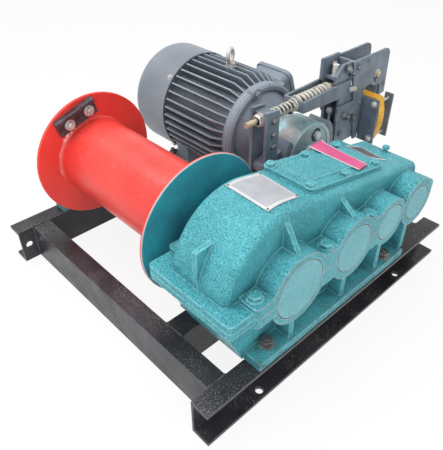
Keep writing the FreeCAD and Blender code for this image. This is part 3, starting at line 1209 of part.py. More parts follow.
def magnet_coil():
    """Taped winding round the core's leg, swollen at half height."""
    start = MAGNET_PLATE_REAR_Y + CLAMP_THICKNESS
    middle_z = (COIL_TOP_Z + COIL_BOTTOM_Z) / 2
    half_height = (COIL_TOP_Z - COIL_BOTTOM_Z) / 2

    def section(y, shrink):
        half = COIL_HALF_WIDTH - COIL_BULGE - shrink
        side = half + COIL_BULGE
        low = FreeCAD.Vector(WHEEL_X + half, y, middle_z - half_height + shrink)
        high = FreeCAD.Vector(WHEEL_X + half, y, middle_z + half_height - shrink)
        far_high = FreeCAD.Vector(WHEEL_X - half, y, middle_z + half_height - shrink)
        far_low = FreeCAD.Vector(WHEEL_X - half, y, middle_z - half_height + shrink)
        edges = [arc_edge(low, FreeCAD.Vector(WHEEL_X + side, y, middle_z), high), Part.makeLine(high, far_high),
                 arc_edge(far_high, FreeCAD.Vector(WHEEL_X - side, y, middle_z), far_low),
                 Part.makeLine(far_low, low)]
        return Part.Wire(edges)

    body = Part.makeLoft([section(start, 3), section((start + COIL_REAR_Y) / 2, 0), section(COIL_REAR_Y, 8)], True)
    half = ARM_OUTER - 4
    window = box(WHEEL_X - half - 0.5, WHEEL_X + half + 0.5, start - 10, COIL_REAR_Y + 10,
                 CORE_LEG_BOTTOM_Z - 0.5, CORE_LEG_TOP_Z + 0.5)
    return body.cut(window)


def coil_clamps():
    """Flat bars in pairs, before and behind the coil, that the tie rods draw together."""
    bars = []
    for y, inner in ((MAGNET_PLATE_REAR_Y, ARM_OUTER + MAGNET_PLATE + CLAMP_CLEARANCE),
                     (CLAMP_REAR_Y, CLAMP_REAR_INNER)):
        for side in (-1, 1):
            ends = sorted((WHEEL_X + side * inner, WHEEL_X + side * CLAMP_OUTER))
            bars.append(box(ends[0], ends[1], y, y + CLAMP_THICKNESS, CLAMP_BOTTOM_Z, CLAMP_TOP_Z))
    return bars


def tie_rods():
    rods = []
    for side in (-1, 1):
        x = WHEEL_X + side * (CLAMP_OUTER - CLAMP_ROD_INSET)
        for z in (CLAMP_BOTTOM_Z + CLAMP_ROD_INSET, CLAMP_TOP_Z - CLAMP_ROD_INSET):
            rods.append(cylinder_y(MAGNET_PLATE_REAR_Y - TIE_ROD_PROUD, CLAMP_REAR_Y + CLAMP_THICKNESS + TIE_ROD_PROUD,
                                   x, z, TIE_ROD_RADIUS))
    return rods


def armature():
    """Swinging plate behind the core's leg, hung on a pin between the two flags."""
    half = ARM_OUTER - SIDE_PLAY
    front = CLAMP_REAR_Y + ARMATURE_GAP
    rear = front + ARMATURE_THICKNESS
    plate = box(WHEEL_X - half, WHEEL_X + half, front, rear, COIL_BOTTOM_Z, ARMATURE_PIN_Z + 14)
    hanger = box(WHEEL_X - half, WHEEL_X + half, ARMATURE_PIN_Y - 12, rear, ARMATURE_PIN_Z - 10,
                 ARMATURE_PIN_Z + 14)
    reach = ARM_OUTER + MAGNET_PLATE + 6
    pin = cylinder_x(WHEEL_X - reach, WHEEL_X + reach, ARMATURE_PIN_Y, ARMATURE_PIN_Z, ARMATURE_PIN_RADIUS)
    return fuse([plate, hanger, pin])


bars = coil_clamps()
rods = tie_rods()
clamp_set = []
for bar in bars:
    for rod in rods:
        bar = bar.cut(rod)
    clamp_set.append(bar)
coil = magnet_coil()
for rod in rods:
    coil = coil.cut(rod)
save("magnet_plates", magnet_plates())
save("magnet_core", magnet_core())
save("magnet_coil", coil)
save("coil_clamps", Part.makeCompound(clamp_set))
save("coil_tie_rods", Part.makeCompound(rods))
save("magnet_armature", armature())
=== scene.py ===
import math

import bmesh
import bpy
from mathutils import Matrix, Vector


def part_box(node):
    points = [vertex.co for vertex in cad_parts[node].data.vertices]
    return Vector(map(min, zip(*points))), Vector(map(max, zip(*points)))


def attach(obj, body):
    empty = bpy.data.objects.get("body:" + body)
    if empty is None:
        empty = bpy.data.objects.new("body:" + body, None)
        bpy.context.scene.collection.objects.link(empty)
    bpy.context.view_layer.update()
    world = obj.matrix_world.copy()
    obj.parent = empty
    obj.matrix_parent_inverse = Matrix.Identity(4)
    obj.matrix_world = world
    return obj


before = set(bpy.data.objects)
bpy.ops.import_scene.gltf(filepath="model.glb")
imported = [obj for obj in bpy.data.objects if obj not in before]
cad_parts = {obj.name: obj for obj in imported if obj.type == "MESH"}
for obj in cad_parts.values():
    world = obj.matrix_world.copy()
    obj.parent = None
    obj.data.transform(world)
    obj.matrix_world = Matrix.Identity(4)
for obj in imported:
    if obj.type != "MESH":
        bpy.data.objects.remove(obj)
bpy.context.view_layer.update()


# ---- Floor, light and camera ----------------------------------------------------------
# The winch stands on a pale studio floor under one broad soft lamp, a weaker one from
# the side and an even white sky. The floor reads white to the camera and keeps a faint
# part of the shadow.
FLOOR_COLOUR = (0.86, 0.86, 0.86, 1)
FLOOR_SHADOW_SHARE = 0.12
FLOOR_SIZE = 40
FLOOR_DROP = 0.0005
SKY_LIGHT = 0.62
LAMPS = (("top_lamp", 60, 2.6, (-0.6, -0.5, 2.8)),
         ("side_lamp", 20, 1.6, (1.9, -1.3, 1.6)))
LAMP_TARGET = Vector((0, 0, 0.2))
CAMERA_PLACE = (0.8365, -0.7948, 0.9889)
CAMERA_AZIMUTH = 46.9
CAMERA_ELEVATION = 37.6
CAMERA_ROLL = -0.3
CAMERA_LENS = 42.25
CAMERA_SENSOR_WIDTH = 36
WHITE = (1, 1, 1, 1)


def add(tree, kind, feed=None, **settings):
    """Adds a node, makes its settings, and links or sets the inputs named in feed."""
    node = tree.nodes.new(kind)
    for name, value in settings.items():
        setattr(node, name, value)
    for socket, value in (feed or {}).items():
        if isinstance(value, bpy.types.NodeSocket):
            tree.links.new(value, node.inputs[socket])
        else:
            node.inputs[socket].default_value = value
    return node


def empty_tree(owner):
    """The cleared node tree of a material or of the sky."""
    owner.use_nodes = True
    owner.node_tree.nodes.clear()
    return owner.node_tree


def arithmetic(tree, operation, first, second=0.0):
    return add(tree, "ShaderNodeMath", {0: first, 1: second}, operation=operation).outputs[0]


def times(tree, first, second):
    return arithmetic(tree, "MULTIPLY", first, second)


def seen_directly(tree):
    """1 for what the camera sees, straight or in a reflection, and 0 for lighting."""
    path = add(tree, "ShaderNodeLightPath").outputs
    straight = arithmetic(tree, "MAXIMUM", path["Is Camera Ray"], path["Is Transmission Ray"])
    return arithmetic(tree, "MAXIMUM", straight, path["Is Glossy Ray"])


sky = bpy.data.worlds.new("studio_sky")
bpy.context.scene.world = sky
tree = empty_tree(sky)
lit = add(tree, "ShaderNodeBackground", {"Color": WHITE, "Strength": SKY_LIGHT})
plain = add(tree, "ShaderNodeBackground", {"Color": WHITE, "Strength": 1.0})
mixed = add(tree, "ShaderNodeMixShader", {0: seen_directly(tree), 1: lit.outputs[0], 2: plain.outputs[0]})
add(tree, "ShaderNodeOutputWorld", {"Surface": mixed.outputs[0]})

floor_coat = bpy.data.materials.new("studio_floor")
tree = empty_tree(floor_coat)
lit = add(tree, "ShaderNodeBsdfDiffuse", {"Color": FLOOR_COLOUR})
plain = add(tree, "ShaderNodeEmission", {"Color": WHITE, "Strength": 1.0})
share = times(tree, seen_directly(tree), 1 - FLOOR_SHADOW_SHARE)
mixed = add(tree, "ShaderNodeMixShader", {0: share, 1: lit.outputs[0], 2: plain.outputs[0]})
add(tree, "ShaderNodeOutputMaterial", {"Surface": mixed.outputs[0]})
bpy.ops.mesh.primitive_plane_add(size=FLOOR_SIZE, location=(0, 0, -FLOOR_DROP))
floor = bpy.context.object
floor.name = "studio_floor"
floor.data.materials.append(floor_coat)

for name, power, size, place in LAMPS:
    lamp = bpy.data.lights.new(name, "AREA")
    lamp.energy = power
    lamp.size = size
    holder = bpy.data.objects.new(name, lamp)
    holder.location = place
    holder.rotation_euler = (LAMP_TARGET - Vector(place)).to_track_quat("-Z", "Y").to_euler()
    bpy.context.collection.objects.link(holder)

camera = bpy.data.cameras.new("camera")
camera.sensor_width = CAMERA_SENSOR_WIDTH
camera.lens = CAMERA_LENS
holder = bpy.data.objects.new("camera", camera)
turn = Matrix.Rotation(math.radians(CAMERA_AZIMUTH), 4, "Z")
turn = turn @ Matrix.Rotation(math.radians(90 - CAMERA_ELEVATION), 4, "X")
turn = turn @ Matrix.Rotation(math.radians(CAMERA_ROLL), 4, "Z")
holder.matrix_world = Matrix.Translation(CAMERA_PLACE) @ turn
bpy.context.collection.objects.link(holder)
bpy.context.scene.camera = holder
bpy.context.scene.view_settings.view_transform = "Standard"


# ---- Welded frame ----------------------------------------------------------------------
# Two rails, two cross members and two beams of rolled channel, butted and welded, then
# sprayed with near-black enamel that carries soft patches of a painted purple-grey sheen.
# It is dusty on top, dull inside and scraped at the edges.
MM = 0.001
FRAME_BLACK = (0.020, 0.020, 0.024, 1)
FRAME_PAINTED_SHEEN = (0.044, 0.044, 0.053, 1)
FRAME_DUST = (0.42, 0.40, 0.34, 1)
FRAME_SCRAPE = (0.22, 0.22, 0.24, 1)
FRAME_SPECULAR = 0.32
WELD_BEAD_RADIUS = 3.4 * MM
WELD_BEAD_STEP = 3.0 * MM
WELD_UNEVENNESS = 0.45


def start_coat(name):
    """An empty material, its tree and the coordinates that its pattern reads."""
    coat = bpy.data.materials.new(name)
    tree = empty_tree(coat)
    return coat, tree, add(tree, "ShaderNodeTexCoord").outputs["Object"]


def spread(tree, value, low, high, least=0.0, most=1.0):
    """The value's run from low to high stretched over least to most, and held at both ends."""
    return add(tree, "ShaderNodeMapRange", {"Value": value, "From Min": low, "From Max": high,
                                            "To Min": least, "To Max": most}).outputs[0]


def cloud(tree, place, per_metre, low, high, detail=3.0):
    """Soft noise that runs from 0 below low to 1 above high."""
    noise = add(tree, "ShaderNodeTexNoise", {"Vector": place, "Scale": per_metre, "Detail": detail})
    return spread(tree, noise.outputs["Fac"], low, high)


def tint(tree, share, first, second):
    """The first colour where share is 0 and the second where it is 1."""
    return add(tree, "ShaderNodeMix", {0: share, 6: first, 7: second}, data_type="RGBA").outputs[2]


def coordinate(tree, vector, axis):
    """One part of a vector: 0 for X, 1 for Y, 2 for Z."""
    return add(tree, "ShaderNodeSeparateXYZ", {0: vector}).outputs[axis]


def vector_math(tree, operation, first, second=None):
    """A vector, or a number where the operation is a length or a dot product."""
    feed = {0: first} if second is None else {0: first, 1: second}
    node = add(tree, "ShaderNodeVectorMath", feed, operation=operation)
    return node.outputs["Value" if operation in ("LENGTH", "DOT_PRODUCT") else "Vector"]


def edge_wear_and_highlight(tree, width, low=0.015, high=0.16):
    """1 along a part's edges and corners and 0 on its open faces. It places both real wear and painted
    highlights.
    """
    rounded = add(tree, "ShaderNodeBevel", {"Radius": width}, samples=6)
    face = add(tree, "ShaderNodeNewGeometry")
    match = vector_math(tree, "DOT_PRODUCT", rounded.outputs[0], face.outputs["Normal"])
    return spread(tree, match, 1 - low, 1 - high)


def facing_up(tree):
    """1 on faces that point up and 0 on steep ones."""
    face = add(tree, "ShaderNodeNewGeometry")
    return spread(tree, coordinate(tree, face.outputs["Normal"], 2), 0.55, 0.9)


def end_coat(tree, colour, roughness, height, depth, metallic=0.0, **extra):
    """Closes a material: colour, gloss and a bump of the given depth."""
    bump = add(tree, "ShaderNodeBump", {"Height": height, "Distance": depth, "Strength": 1.0})
    feed = {"Base Color": colour, "Roughness": roughness, "Metallic": metallic,
            "Normal": bump.outputs[0]}
    feed.update(extra)
    shader = add(tree, "ShaderNodeBsdfPrincipled", feed)
    add(tree, "ShaderNodeOutputMaterial", {"Surface": shader.outputs[0]})


def dress(coat, *nodes):
    """Gives CAD nodes a material, leaving their meshes as they are."""
    for node in nodes:
        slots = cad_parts[node].data.materials
        slots.clear()
        slots.append(coat)


frame_coat, tree, place = start_coat("frame_enamel")
# Soft patches of painted sheen: a purple-grey reflection painted into the black.
colour = tint(tree, cloud(tree, place, 7, 0.4, 0.68), FRAME_BLACK, FRAME_PAINTED_SHEEN)
specks = cloud(tree, place, 420, 0.60, 0.66, 2.0)
drifts = times(tree, cloud(tree, place, 11, 0.42, 0.62), specks)
dust = times(tree, drifts, arithmetic(tree, "ADD", facing_up(tree), 0.25))
colour = tint(tree, times(tree, dust, 0.75), colour, FRAME_DUST)
edges = times(tree, edge_wear_and_highlight(tree, 0.0025), cloud(tree, place, 60, 0.35, 0.6))
colour = tint(tree, times(tree, edges, 0.7), colour, FRAME_SCRAPE)
roughness = spread(tree, cloud(tree, place, 16, 0.3, 0.7), 0, 1, 0.22, 0.42)
ripples = add(tree, "ShaderNodeTexNoise", {"Vector": place, "Scale": 90.0, "Detail": 2.0}).outputs["Fac"]
end_coat(tree, colour, roughness, ripples, 0.0008, **{"Specular IOR Level": FRAME_SPECULAR})
dress(frame_coat, "left_rail", "right_rail", "front_crossmember", "rear_crossmember", "gearbox_beam",
      "motor_beam")


def start_repeat(name, inputs):
    """A Geometry Nodes tree with named inputs, and the sockets that give them inside it."""
    group = bpy.data.node_groups.new(name, "GeometryNodeTree")
    group.interface.new_socket("Geometry", in_out="INPUT", socket_type="NodeSocketGeometry")
    for label, kind in inputs:
        group.interface.new_socket(label, in_out="INPUT", socket_type="NodeSocket" + kind)
    group.interface.new_socket("Geometry", in_out="OUTPUT", socket_type="NodeSocketGeometry")
    return group, add(group, "NodeGroupInput").outputs


def coated_solid(tree, instances, coat):
    """The instances made real, in one material."""
    solid = add(tree, "GeometryNodeRealizeInstances", {0: instances.outputs[0]})
    return add(tree, "GeometryNodeSetMaterial", {"Geometry": solid.outputs[0], "Material": coat}).outputs[0]


def grown(name, group, vertices, edges, settings, vectors=None):
    """Runs a tree on a few points or lines and keeps its result as a plain mesh object."""
    seed_mesh = bpy.data.meshes.new(name + "_seed")
    seed_mesh.from_pydata(vertices, edges, [])
    if vectors:
        axis = seed_mesh.attributes.new("axis", "FLOAT_VECTOR", "POINT")
        for index, value in enumerate(vectors):
            axis.data[index].vector = value
    piece = bpy.data.objects.new(name, seed_mesh)
    bpy.context.collection.objects.link(piece)
    modifier = piece.modifiers.new("repeat", "NODES")
    modifier.node_group = group
    for socket in group.interface.items_tree:
        if socket.item_type == "SOCKET" and socket.in_out == "INPUT" and socket.name in settings:
            modifier[socket.identifier] = settings[socket.name]
    result = bpy.data.meshes.new_from_object(piece.evaluated_get(bpy.context.evaluated_depsgraph_get()))
    piece.modifiers.clear()
    piece.data = result
    result.name = name
    return piece


def place_piece(piece, body):
    """Says which body a piece rides on."""
    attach(piece, body)


lump_tree, given = start_repeat("lumps_along_lines", (
    ("Radius", "Float"), ("Step", "Float"), ("Unevenness", "Float"), ("Seed", "Int"), ("Coat", "Material")))
line = add(lump_tree, "GeometryNodeMeshToCurve", {0: given["Geometry"]})
dots = add(lump_tree, "GeometryNodeResampleCurve", {"Curve": line.outputs[0], "Length": given["Step"]},
           mode="LENGTH")
lump = add(lump_tree, "GeometryNodeMeshIcoSphere", {"Radius": given["Radius"], "Subdivisions": 2})
least = arithmetic(lump_tree, "SUBTRACT", 1.0, given["Unevenness"])
sizes = add(lump_tree, "FunctionNodeRandomValue", {2: least, 3: 1.0, "Seed": given["Seed"]})
lumps = add(lump_tree, "GeometryNodeInstanceOnPoints", {
    "Points": dots.outputs[0], "Instance": lump.outputs[0], "Scale": sizes.outputs[1]})
add(lump_tree, "NodeGroupOutput", {0: coated_solid(lump_tree, lumps, given["Coat"])})

weld_ends, weld_lines = [], []


def weld(*corners):
    """One run of weld through the corners."""
    start = len(weld_ends)
    weld_ends.extend(corners)
    weld_lines.extend((start + step, start + step + 1) for step in range(len(corners) - 1))


for node in ("front_crossmember", "rear_crossmember", "motor_beam"):
    (x0, y0, z0), (x1, y1, z1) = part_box(node)
    inner, outer = (y0, y1) if node == "rear_crossmember" else (y1, y0)
    for x in (x0, x1):
        weld((x, inner, z1), (x, outer, z1), (x, outer, z0 + WELD_BEAD_RADIUS))
(x0, y0, z0), (x1, y1, z1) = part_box("gearbox_beam")
for y in (y0, y1):
    weld((x1, y, z0 + WELD_BEAD_RADIUS), (x1, y, z1), (x0, y, z1))
welds = grown("frame_welds", lump_tree, weld_ends, weld_lines,
              {"Radius": WELD_BEAD_RADIUS, "Step": WELD_BEAD_STEP, "Unevenness": WELD_UNEVENNESS,
               "Seed": 4, "Coat": frame_coat})
place_piece(welds, "winch_base")


# ---- Drum pedestal and gearbox castings ------------------------------------------------
# Sand-cast iron: the pedestal, the box in two halves, its inspection cover and breather.
# All are sprayed with thick turquoise enamel that lies in a hammered grain, dark in the
# pits. Painted highlights run along the edges and painted shade lies in the hollows; the
# caps' rims are rubbed pinkish grey, and the castings are darker towards the bottom.
TURQUOISE = (0.070, 0.500, 0.575, 1)
TURQUOISE_DEEP = (0.034, 0.365, 0.435, 1)
TURQUOISE_PIT = (0.014, 0.150, 0.185, 1)
TURQUOISE_PAINTED_SHADE = (0.012, 0.175, 0.225, 1)
TURQUOISE_GRAIN_AND_HIGHLIGHT = (0.34, 0.82, 0.88, 1)
CASTING_LOW_DARK = (0.10, 0.10, 0.085, 1)
CAP_FACE = (0.140, 0.425, 0.475, 1)
CAP_SHADE = (0.085, 0.360, 0.420, 1)
CAP_RUB = (0.50, 0.47, 0.46, 1)
CAP_RIM_FROM_MIDDLE = (0.1235, 0.1265)
LOW_DARK_HEIGHTS = (0.16, 0.10)


def middle(node, axis):
    """The middle of a CAD node's box along one axis."""
    low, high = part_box(node)
    return (low[axis] + high[axis]) / 2


CASTING_MIDDLE_X = middle("gearbox_body", 0)


def painted_shade_in_hollows(tree, reach, low=0.78, high=0.35):
    """1 deep in grooves and corners and 0 in the open: the mask for painted shade."""
    room = add(tree, "ShaderNodeAmbientOcclusion", {"Distance": reach}, samples=8)
    return spread(tree, room.outputs["AO"], low, high)


def cast_coat(name, face, shade, edge_highlight_and_rub_share, pit_share, pit_depth, hollow_reach):
    """Turquoise enamel over cast iron: grain, pits, painted edge highlights (a pinkish-grey rub on the cap
    rims), painted shade in hollows, and darker towards the bottom.
    """
    coat, tree, place = start_coat(name)
    colour = tint(tree, cloud(tree, place, 9, 0.35, 0.65), face, shade)
    grain = cloud(tree, place, 260, 0.36, 0.62, 4.0)
    pits = cloud(tree, place, 430, 0.56, 0.64, 2.0)
    # The grain's raised spots take some of the same pale turquoise that makes the painted edge highlights.
    colour = tint(tree, times(tree, grain, 0.30), colour, TURQUOISE_GRAIN_AND_HIGHLIGHT)
    colour = tint(tree, times(tree, pits, pit_share), colour, TURQUOISE_PIT)
    # Painted shade in grooves and corners.
    colour = tint(tree, times(tree, painted_shade_in_hollows(tree, hollow_reach), 0.75), colour, TURQUOISE_PAINTED_SHADE)
    # Painted highlights along the edges, broken by noise; on the bearing caps' rims the edge turns to a
    # real pinkish-grey rub.
    broken = cloud(tree, place, 45, 0.22, 0.44)
    edges = times(tree, edge_wear_and_highlight(tree, 0.0055), broken)
    from_middle = arithmetic(tree, "SUBTRACT", coordinate(tree, place, 0), CASTING_MIDDLE_X)
    on_rim = spread(tree, arithmetic(tree, "ABSOLUTE", from_middle), *CAP_RIM_FROM_MIDDLE)
    ridge = tint(tree, on_rim, TURQUOISE_GRAIN_AND_HIGHLIGHT, CAP_RUB)
    colour = tint(tree, times(tree, edges, edge_highlight_and_rub_share), colour, ridge)
    # Darker towards the bottom, in noisy patches.
    low_down = spread(tree, coordinate(tree, place, 2), *LOW_DARK_HEIGHTS)
    dark_blotches = times(tree, low_down, cloud(tree, place, 40, 0.50, 0.68))
    colour = tint(tree, times(tree, dark_blotches, 0.6), colour, CASTING_LOW_DARK)
    roughness = spread(tree, grain, 0, 1, 0.30, 0.46)
    height = arithmetic(tree, "SUBTRACT", grain, times(tree, pits, pit_depth))
    return coat, tree, place, colour, roughness, height


casting_coat, tree, place, colour, roughness, height = cast_coat(
    "hammered_turquoise", TURQUOISE, TURQUOISE_DEEP, 0.85, 0.68, 1.2, 0.055)
end_coat(tree, colour, roughness, height, 0.0016)
dress(casting_coat, "drum_pedestal", "pedestal_cap", "gearbox_body", "gearbox_cover", "inspection_cover",
      "gearbox_breather")

cap_coat, tree, place, colour, roughness, height = cast_coat(
    "rubbed_turquoise", CAP_FACE, CAP_SHADE, 0.3, 0.35, 0.6, 0.005)
rubbed = times(tree, edge_wear_and_highlight(tree, 0.0035), cloud(tree, place, 34, 0.40, 0.60))
colour = tint(tree, times(tree, rubbed, 0.85), colour, CAP_RUB)
end_coat(tree, colour, roughness, height, 0.0006)
dress(cap_coat, "bearing_caps")


# ---- Bolts of the pedestal and the gearbox ---------------------------------------------
# Hexagon heads and nuts, most of them sprayed over with the casting. The foot nuts went
# on after the painting: black, each on the end of its stud.


def fastener(sides, radius, height, washer_radius, washer_height, stud_radius=0.1, stud_height=0.0):
    """The sizes of one kind, given in millimetres. A kind with no stud keeps a thin one inside."""
    return {"Sides": sides, "Radius": radius * MM, "Height": height * MM,
            "Washer Radius": washer_radius * MM, "Washer Height": washer_height * MM,
            "Stud Radius": stud_radius * MM, "Stud Height": stud_height * MM}


PAINTED_BOLT = fastener(6, 10.5, 8, 14, 1.5)
PARTING_BOLT = fastener(6, 14.5, 10, 18, 1.5)
FOOT_NUT = fastener(6, 15, 12, 18, 3, 8, 5)
STRAIGHT_SHARE = 0.8
CROWN_SHARE = 0.2
WASHER_SIDES = 24
STUD_SIDES = 16
CROWN_TAPER = 0.84
STUD_TAPER = 0.93
NUT_BLACK = (0.150, 0.160, 0.170, 1)
NUT_SHADE = (0.07, 0.065, 0.06, 1)
NUT_WORN = (0.38, 0.36, 0.33, 1)
FOOT_WASHER = (0.40, 0.41, 0.42, 1)
FOOT_WASHER_SHADE = (0.22, 0.22, 0.22, 1)
GREASE = (0.045, 0.040, 0.036, 1)
UP = (0, 0, 1)
SIDES = (-1, 1)
PARTING_BOLTS = ((101.0, -283.0, 291.0), (109.0, -87.0, 308.0), (109.0, 62.0, 308.0))
INSPECTION_PLATE = 9 * MM
COVER_BOLT_INSET_X = 13 * MM
COVER_BOLT_YS = (-71 * MM, 45 * MM, 166 * MM)
COVER_SLOPE = math.radians(11.2)
END_RADIUS = 157 * MM
DRUM_Y = middle("drum_barrel", 1)
AXIS_Z = middle("drum_left_flange", 2)
FOOT_NUTS = ((96.0, -235.0), (105.0, 180.0))
GEARBOX_FOOT = 21 * MM
PEDESTAL_FOOT = 20 * MM
PEDESTAL_BOLT_INSET = 19 * MM
CAP_EAR = 16 * MM
CAP_EAR_BOLT_INSET = 14 * MM
PASTE_INSET = 8.5 * MM
PASTE_CORNER = 12 * MM
PASTE_REACH = 130 * MM

bolt_tree, given = start_repeat("hexagon_fasteners", (
    ("Sides", "Int"), ("Radius", "Float"), ("Height", "Float"), ("Washer Radius", "Float"),
    ("Washer Height", "Float"), ("Stud Radius", "Float"), ("Stud Height", "Float"), ("Seed", "Int"),
    ("Coat", "Material"), ("Washer Coat", "Material")))


def column(bottom, height, radius, sides, taper=1.0):
    """A short column or cone that stands at bottom, as part of the fastener tree."""
    top = times(bolt_tree, radius, taper)
    cone = add(bolt_tree, "GeometryNodeMeshCone", {
        "Vertices": sides, "Radius Bottom": radius, "Radius Top": top, "Depth": height})
    lift = add(bolt_tree, "ShaderNodeCombineXYZ", {2: bottom})
    return add(bolt_tree, "GeometryNodeTransform", {
        "Geometry": cone.outputs[0], "Translation": lift.outputs[0]}).outputs[0]


washer_top = given["Washer Height"]
washer = column(0.0, washer_top, given["Washer Radius"], WASHER_SIDES)
washer = add(bolt_tree, "GeometryNodeStoreNamedAttribute", {
    "Geometry": washer, "Name": "washer", "Value": True}, data_type="BOOLEAN", domain="FACE").outputs[0]
straight = times(bolt_tree, given["Height"], STRAIGHT_SHARE)
head = column(washer_top, straight, given["Radius"], given["Sides"])
crown = column(arithmetic(bolt_tree, "ADD", washer_top, straight),
               times(bolt_tree, given["Height"], CROWN_SHARE), given["Radius"], given["Sides"], CROWN_TAPER)
half = times(bolt_tree, given["Height"], 0.5)
stud = column(arithmetic(bolt_tree, "ADD", washer_top, half),
              arithmetic(bolt_tree, "ADD", given["Stud Height"], half), given["Stud Radius"], STUD_SIDES,
              STUD_TAPER)
joined = add(bolt_tree, "GeometryNodeJoinGeometry")
for part in (washer, head, crown, stud):
    bolt_tree.links.new(part, joined.inputs[0])
axis = add(bolt_tree, "GeometryNodeInputNamedAttribute", {"Name": "axis"}, data_type="FLOAT_VECTOR")
upright = add(bolt_tree, "FunctionNodeAlignRotationToVector", {"Vector": axis.outputs[0]}, axis="Z")
twist = add(bolt_tree, "FunctionNodeRandomValue", {2: 0.0, 3: math.pi, "Seed": given["Seed"]})
twist = add(bolt_tree, "ShaderNodeCombineXYZ", {2: twist.outputs[1]})
twist = add(bolt_tree, "FunctionNodeEulerToRotation", {0: twist.outputs[0]})
turned = add(bolt_tree, "FunctionNodeRotateRotation", {0: upright.outputs[0], 1: twist.outputs[0]},
             rotation_space="LOCAL")
spots = add(bolt_tree, "GeometryNodeInstanceOnPoints", {
    "Points": given["Geometry"], "Instance": joined.outputs[0], "Rotation": turned.outputs[0]})
flagged = add(bolt_tree, "GeometryNodeInputNamedAttribute", {"Name": "washer"}, data_type="BOOLEAN")
coated = add(bolt_tree, "GeometryNodeSetMaterial", {
    "Geometry": coated_solid(bolt_tree, spots, given["Coat"]), "Selection": flagged.outputs[0],
    "Material": given["Washer Coat"]})
add(bolt_tree, "NodeGroupOutput", {0: coated.outputs[0]})


def fasten(name, body, kind, coat, washer_coat, places, seed):
    """Sets one kind of fastener at each place, a point in metres with the way it faces."""
    settings = dict(kind, Coat=coat, Seed=seed)
    settings["Washer Coat"] = washer_coat
    piece = grown(name, bolt_tree, [spot for spot, _ in places], [], settings, [way for _, way in places])
    place_piece(piece, body)


def metal_coat(name, face, shade, worn, roughness, metallic, edge_share=0.7, greased=None):
    """Small turned or pressed metal, stained, rubbed at its edges and greased between two Ys."""
    coat, tree, place = start_coat(name)
    colour = tint(tree, cloud(tree, place, 60, 0.38, 0.64), face, shade)
    colour = tint(tree, times(tree, edge_wear_and_highlight(tree, 0.0012), edge_share), colour, worn)
    if greased:
        along = coordinate(tree, place, 1)
        dark = times(tree, spread(tree, along, greased[0], greased[0] + 0.002),
                     spread(tree, along, greased[1], greased[1] - 0.002))
        colour = tint(tree, times(tree, dark, 0.9), colour, GREASE)
    gloss = spread(tree, cloud(tree, place, 120, 0.3, 0.7), 0, 1, roughness - 0.08, roughness + 0.12)
    end_coat(tree, colour, gloss, cloud(tree, place, 500, 0.3, 0.7), 0.0003, metallic)
    return coat


def cover_top(y):
    """Height of the cover's top: the round end, then the slope that leaves it as a tangent."""
    if y < DRUM_Y + END_RADIUS * math.sin(COVER_SLOPE):
        return AXIS_Z + math.sqrt(max(END_RADIUS ** 2 - (y - DRUM_Y) ** 2, 0))
    return AXIS_Z + END_RADIUS / math.cos(COVER_SLOPE) - (y - DRUM_Y) * math.tan(COVER_SLOPE)


nut_coat = metal_coat("black_nut", NUT_BLACK, NUT_SHADE, NUT_WORN, 0.36, 0.3)
places = [((CASTING_MIDDLE_X + side * x * MM, y * MM, z * MM), UP)
          for x, y, z in PARTING_BOLTS for side in SIDES]
fasten("parting_bolts", "winch_base", PARTING_BOLT, casting_coat, casting_coat, places, 21)

low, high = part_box("inspection_cover")
places = [((x, y, cover_top(y) + INSPECTION_PLATE), UP)
          for x in (low[0] + COVER_BOLT_INSET_X, high[0] - COVER_BOLT_INSET_X) for y in COVER_BOLT_YS]
for node, inset, thickness in (("drum_pedestal", PEDESTAL_BOLT_INSET, PEDESTAL_FOOT),
                               ("pedestal_cap", CAP_EAR_BOLT_INSET, CAP_EAR)):
    low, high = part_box(node)
    places += [((middle(node, 0), y, low[2] + thickness), UP) for y in (low[1] + inset, high[1] - inset)]
fasten("casting_bolts", "winch_base", PAINTED_BOLT, casting_coat, casting_coat, places, 3)

foot_top_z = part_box("gearbox_body")[0][2] + GEARBOX_FOOT
places = [((CASTING_MIDDLE_X + side * x * MM, y * MM, foot_top_z), UP)
          for x, y in FOOT_NUTS for side in SIDES]
washer_coat = metal_coat("foot_washer", FOOT_WASHER, FOOT_WASHER_SHADE, NUT_WORN, 0.4, 0.5)
fasten("gearbox_foot_nuts", "winch_base", FOOT_NUT, nut_coat, washer_coat, places, 8)

# Paint and sealing paste stand in small lumps along the joint between the gearbox's halves.
(x0, y0, _), (x1, _, joint_z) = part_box("gearbox_body")
left, right = x0 + PASTE_INSET, x1 - PASTE_INSET
rim = ((right, y0 + PASTE_REACH), (right, y0 + PASTE_CORNER), (right - PASTE_CORNER, y0),
       (left + PASTE_CORNER, y0), (left, y0 + PASTE_CORNER), (left, y0 + PASTE_REACH))
paste = grown("parting_paste", lump_tree, [(x, y, joint_z) for x, y in rim],
              [(corner, corner + 1) for corner in range(len(rim) - 1)],
              {"Radius": 2.6 * MM, "Step": 3.1 * MM, "Unevenness": 0.85, "Seed": 6, "Coat": casting_coat})
place_piece(paste, "winch_base")


